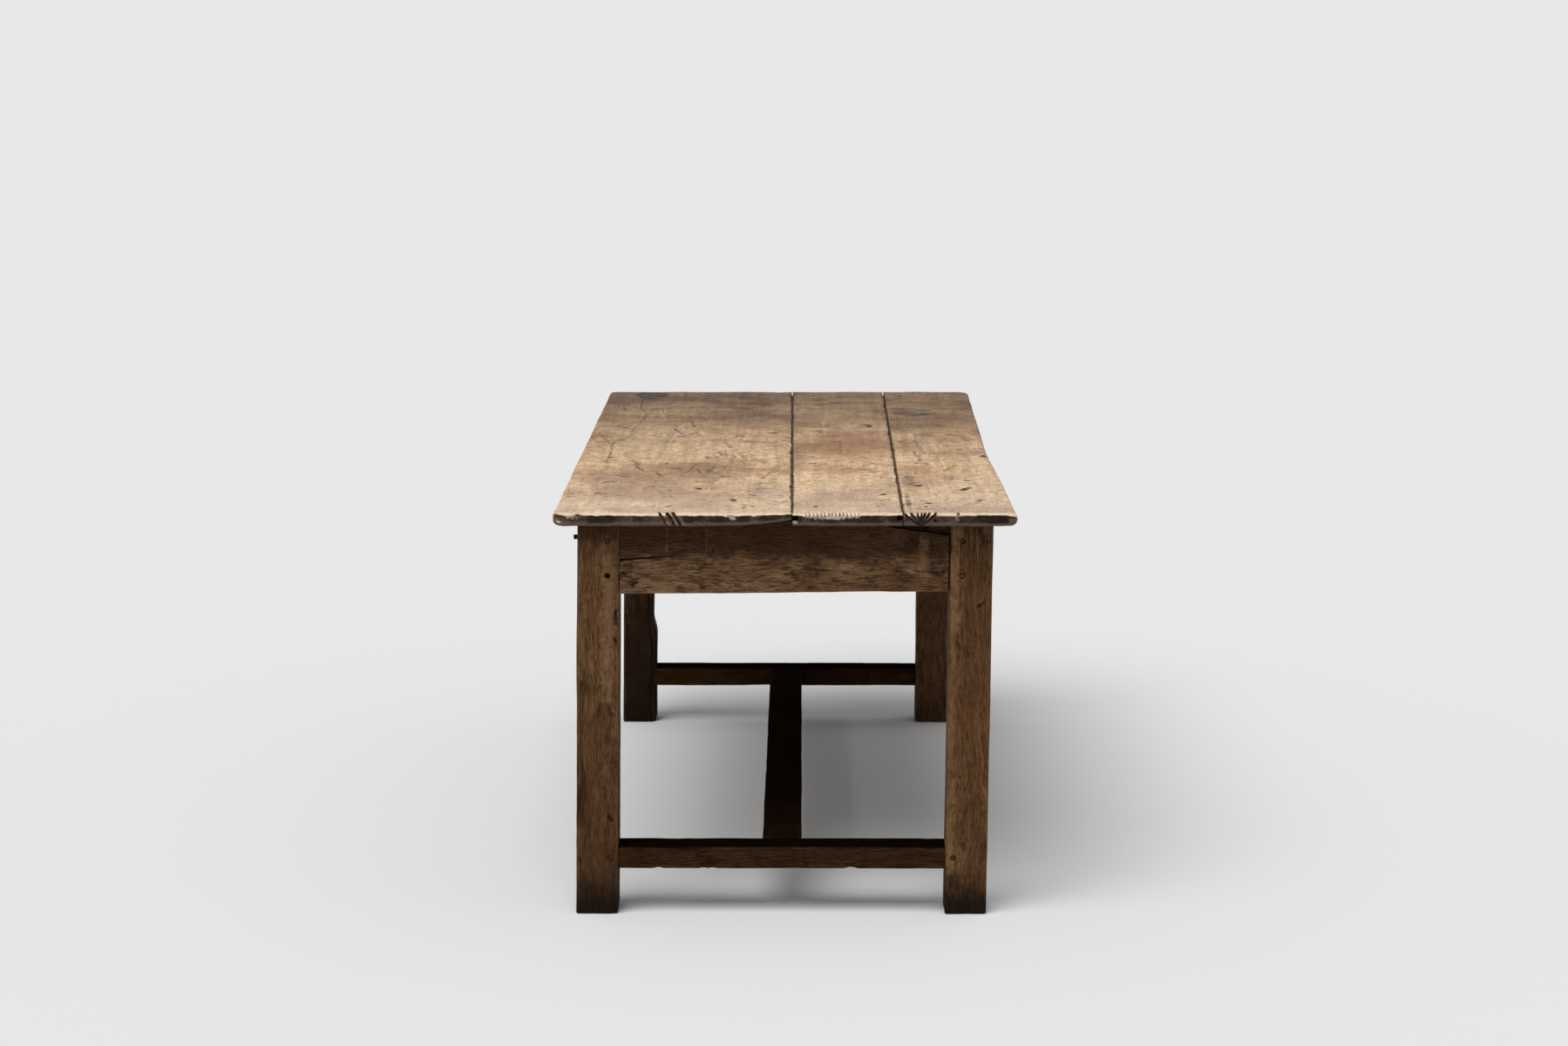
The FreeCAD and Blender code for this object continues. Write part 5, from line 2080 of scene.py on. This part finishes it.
    def apron_split(self) -> BMesh:
        """Makes the cutter of the split that runs into the front apron from its left end.

        Returns:
            The cutter.
        """
        start, end = (CAMERA.on_upright(p, self.apron_y) for p in self.split_ends)
        run = end - start
        lean = Matrix.Rotation(math.pi / 2 - math.atan2(run.z, run.x), 3, "Y")
        turn = lean @ Matrix.Rotation(math.pi, 3, "X")
        size = (self.split_width, self.split_depth, run.length)
        return stick(size, turn, (start + end) / 2, self.split_point_share)

    def waney_corner(self, low: Vector, high: Vector) -> BMesh:
        """Makes the cutter of the bark edge that the front apron has in front of its upper right corner.

        Args:
            low: the apron's lower corner, with the frame stood upright.
            high: its upper corner.

        Returns:
            The cutter.
        """
        bm = bmesh.new()
        bmesh.ops.create_cube(bm, size=1.0)
        bmesh.ops.translate(bm, vec=(0.5, 0.5, 0.5), verts=bm.verts)
        lengthwise = [e for e in bm.edges if abs(e.verts[1].co.x - e.verts[0].co.x) > 0.5]
        bmesh.ops.subdivide_edges(bm, edges=lengthwise, cuts=self.corner_cuts, use_grid_fill=True)
        for vert in bm.verts:
            share = vert.co.x * self.corner_length_share
            drop = self.corner_drop * share ** self.corner_bend
            rough = noise.fractal(Vector((share * self.corner_pace, 2.0, 5.0)), 0.8, 2.0, 3)
            bottom = high.z - drop + self.corner_rough * rough
            z = bottom if vert.co.z < 0.5 else high.z + self.corner_over
            y = low.y - self.corner_over if vert.co.y < 0.5 else low.y + self.corner_depth
            x = high.x - self.corner_length * (1.0 - share)
            vert.co = Vector((x + RACK.at(z), y, z))
        return bm

    def stretchers(self) -> None:
        """Makes the end stretchers and the long one between them."""
        inner_low, inner_high = self.between_legs()
        for end, seed in (("front", 21.0), ("back", 24.0)):
            node = "stretcher_" + end
            low, high = self.upright(node)
            low.x, high.x = inner_low.x - (self.bark_overlap if end == "back" else 0.0), inner_high.x
            finish = DarkOak(node + "_oak", Grain.ACROSS, seed, shade=self.stretcher_shades[end], gloss=0.0,
                             grime_share=0.95, grime_from=0.0)
            dents = Dent.on_front(self.stretcher_y, self.stretcher_chips if end == "front" else ())
            Timber(node, low, high, Grain.ACROSS, finish, Slot.FRAME, self.stretcher_spacing,
                   self.stretcher_wear, seed, dents=dents, shouldered=True).build()
        low, high = self.upright("stretcher_long")
        low.y, high.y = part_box("stretcher_front")[1].y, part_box("stretcher_back")[0].y
        finish = DarkOak("stretcher_long_oak", Grain.LENGTHWISE, 27.0, shade=self.long_shade, gloss=0.0,
                         grime_share=0.72)
        Timber("stretcher_long", low, high, Grain.LENGTHWISE, finish, Slot.FRAME, self.long_spacing,
               self.stretcher_wear, 27.0, shouldered=True).build()

    def bearers(self) -> None:
        """Makes the two bearers under the planks."""
        for end, seed in (("front", 30.0), ("back", 33.0)):
            node = "bearer_" + end
            low, high = self.upright(node)
            finish = DarkOak(node + "_oak", Grain.ACROSS, seed)
            Timber(node, low, high, Grain.ACROSS, finish, Slot.FRAME, self.bearer_spacing,
                   seed=seed).build()

    def build(self) -> None:
        """Makes the frame and its pegs."""
        self.legs()
        self.aprons()
        self.stretchers()
        self.bearers()
        # painted light and shade: the pegs on the front faces get a lighter copy of the peg oak, the others a
        # darker, shaded copy
        finish = PegOak("shaded_peg_oak", Grain.UPRIGHT, 5.0)
        lit_peg_finish = PegOak("lit_peg_oak", Grain.UPRIGHT, 5.0, deep=paint(42, 28, 17),
                        middle=paint(70, 48, 31), light=paint(100, 72, 47))
        for node, outside in self.pegs.items():
            front = node.endswith("_front")
            Pegs(node, outside, lit_peg_finish if front else finish, loose=self.loose(node)).build()

    def loose(self, node: str) -> tuple[int, float] | None:
        """Tells which peg of a group has worked its way out, and how far.

        Args:
            node: the group of pegs.

        Returns:
            The peg's number and how far it stands out, or None.
        """
        if node != "pegs_apron_left":
            return None
        heads = [place.head for place in PegPlace.all_of(node, self.pegs[node])]
        upper_front = max(range(len(heads)), key=lambda number: heads[number].z - heads[number].y)
        return upper_front, self.loose_peg


@dataclass(frozen=True)
class Studio:
    """A plain pale floor and soft light."""

    floor_size: float = 200.0
    floor_colour: Colour = (0.80, 0.80, 0.80, 1.0)
    sky_colour: Colour = (0.80, 0.80, 0.80, 1.0)
    fill: float = 0.5
    key_side: tuple[float, float, float] = (-0.3, -0.6, 1.0)
    key_strength: float = 2.3
    key_spread: float = math.radians(50)

    def build(self) -> None:
        """Makes the floor, the lamp and the sky."""
        self.floor()
        self.lamp()
        self.sky()

    def floor(self) -> None:
        """Makes the floor."""
        bm = bmesh.new()
        bmesh.ops.create_grid(bm, x_segments=1, y_segments=1, size=self.floor_size / 2)
        floor = new_piece("floor", bm)
        material = bpy.data.materials.new("pale_floor")
        material.use_nodes = True
        shader = material.node_tree.nodes["Principled BSDF"]
        shader.inputs["Base Color"].default_value = self.floor_colour
        shader.inputs["Roughness"].default_value = 1.0
        shader.inputs["Specular IOR Level"].default_value = 0.0
        floor.data.materials.append(material)

    def lamp(self) -> None:
        """Puts up one broad, far lamp."""
        data = bpy.data.lights.new("key_light", "SUN")
        data.energy = self.key_strength
        data.angle = self.key_spread
        lamp = bpy.data.objects.new("key_light", data)
        lamp.rotation_euler = Vector(self.key_side).to_track_quat("Z", "Y").to_euler()
        bpy.context.scene.collection.objects.link(lamp)

    def sky(self) -> None:
        """Makes the sky: pale to the camera, and a soft fill for everything else."""
        world = bpy.data.worlds.new("studio_sky")
        world.use_nodes = True
        bpy.context.scene.world = world
        w = Wiring(world.node_tree)
        background = world.node_tree.nodes["Background"]
        background.inputs["Color"].default_value = self.sky_colour
        path = w.node("LightPath").outputs
        seen = w.math("MAXIMUM", path["Is Camera Ray"], w.math("MAXIMUM", path["Is Glossy Ray"],
                                                               path["Is Transmission Ray"]))
        w.feed(background.inputs["Strength"], w.times_plus(seen, 1.0 - self.fill, self.fill))


def main() -> None:
    """Builds the table, the studio and the camera."""
    logging.basicConfig(level=logging.INFO, format="%(name)s %(message)s")
    bpy.context.scene.view_settings.view_transform = "Standard"
    TableTop().build()
    TableFrame().build()
    Studio().build()
    CAMERA.build()


if __name__ == "__main__":
    main()
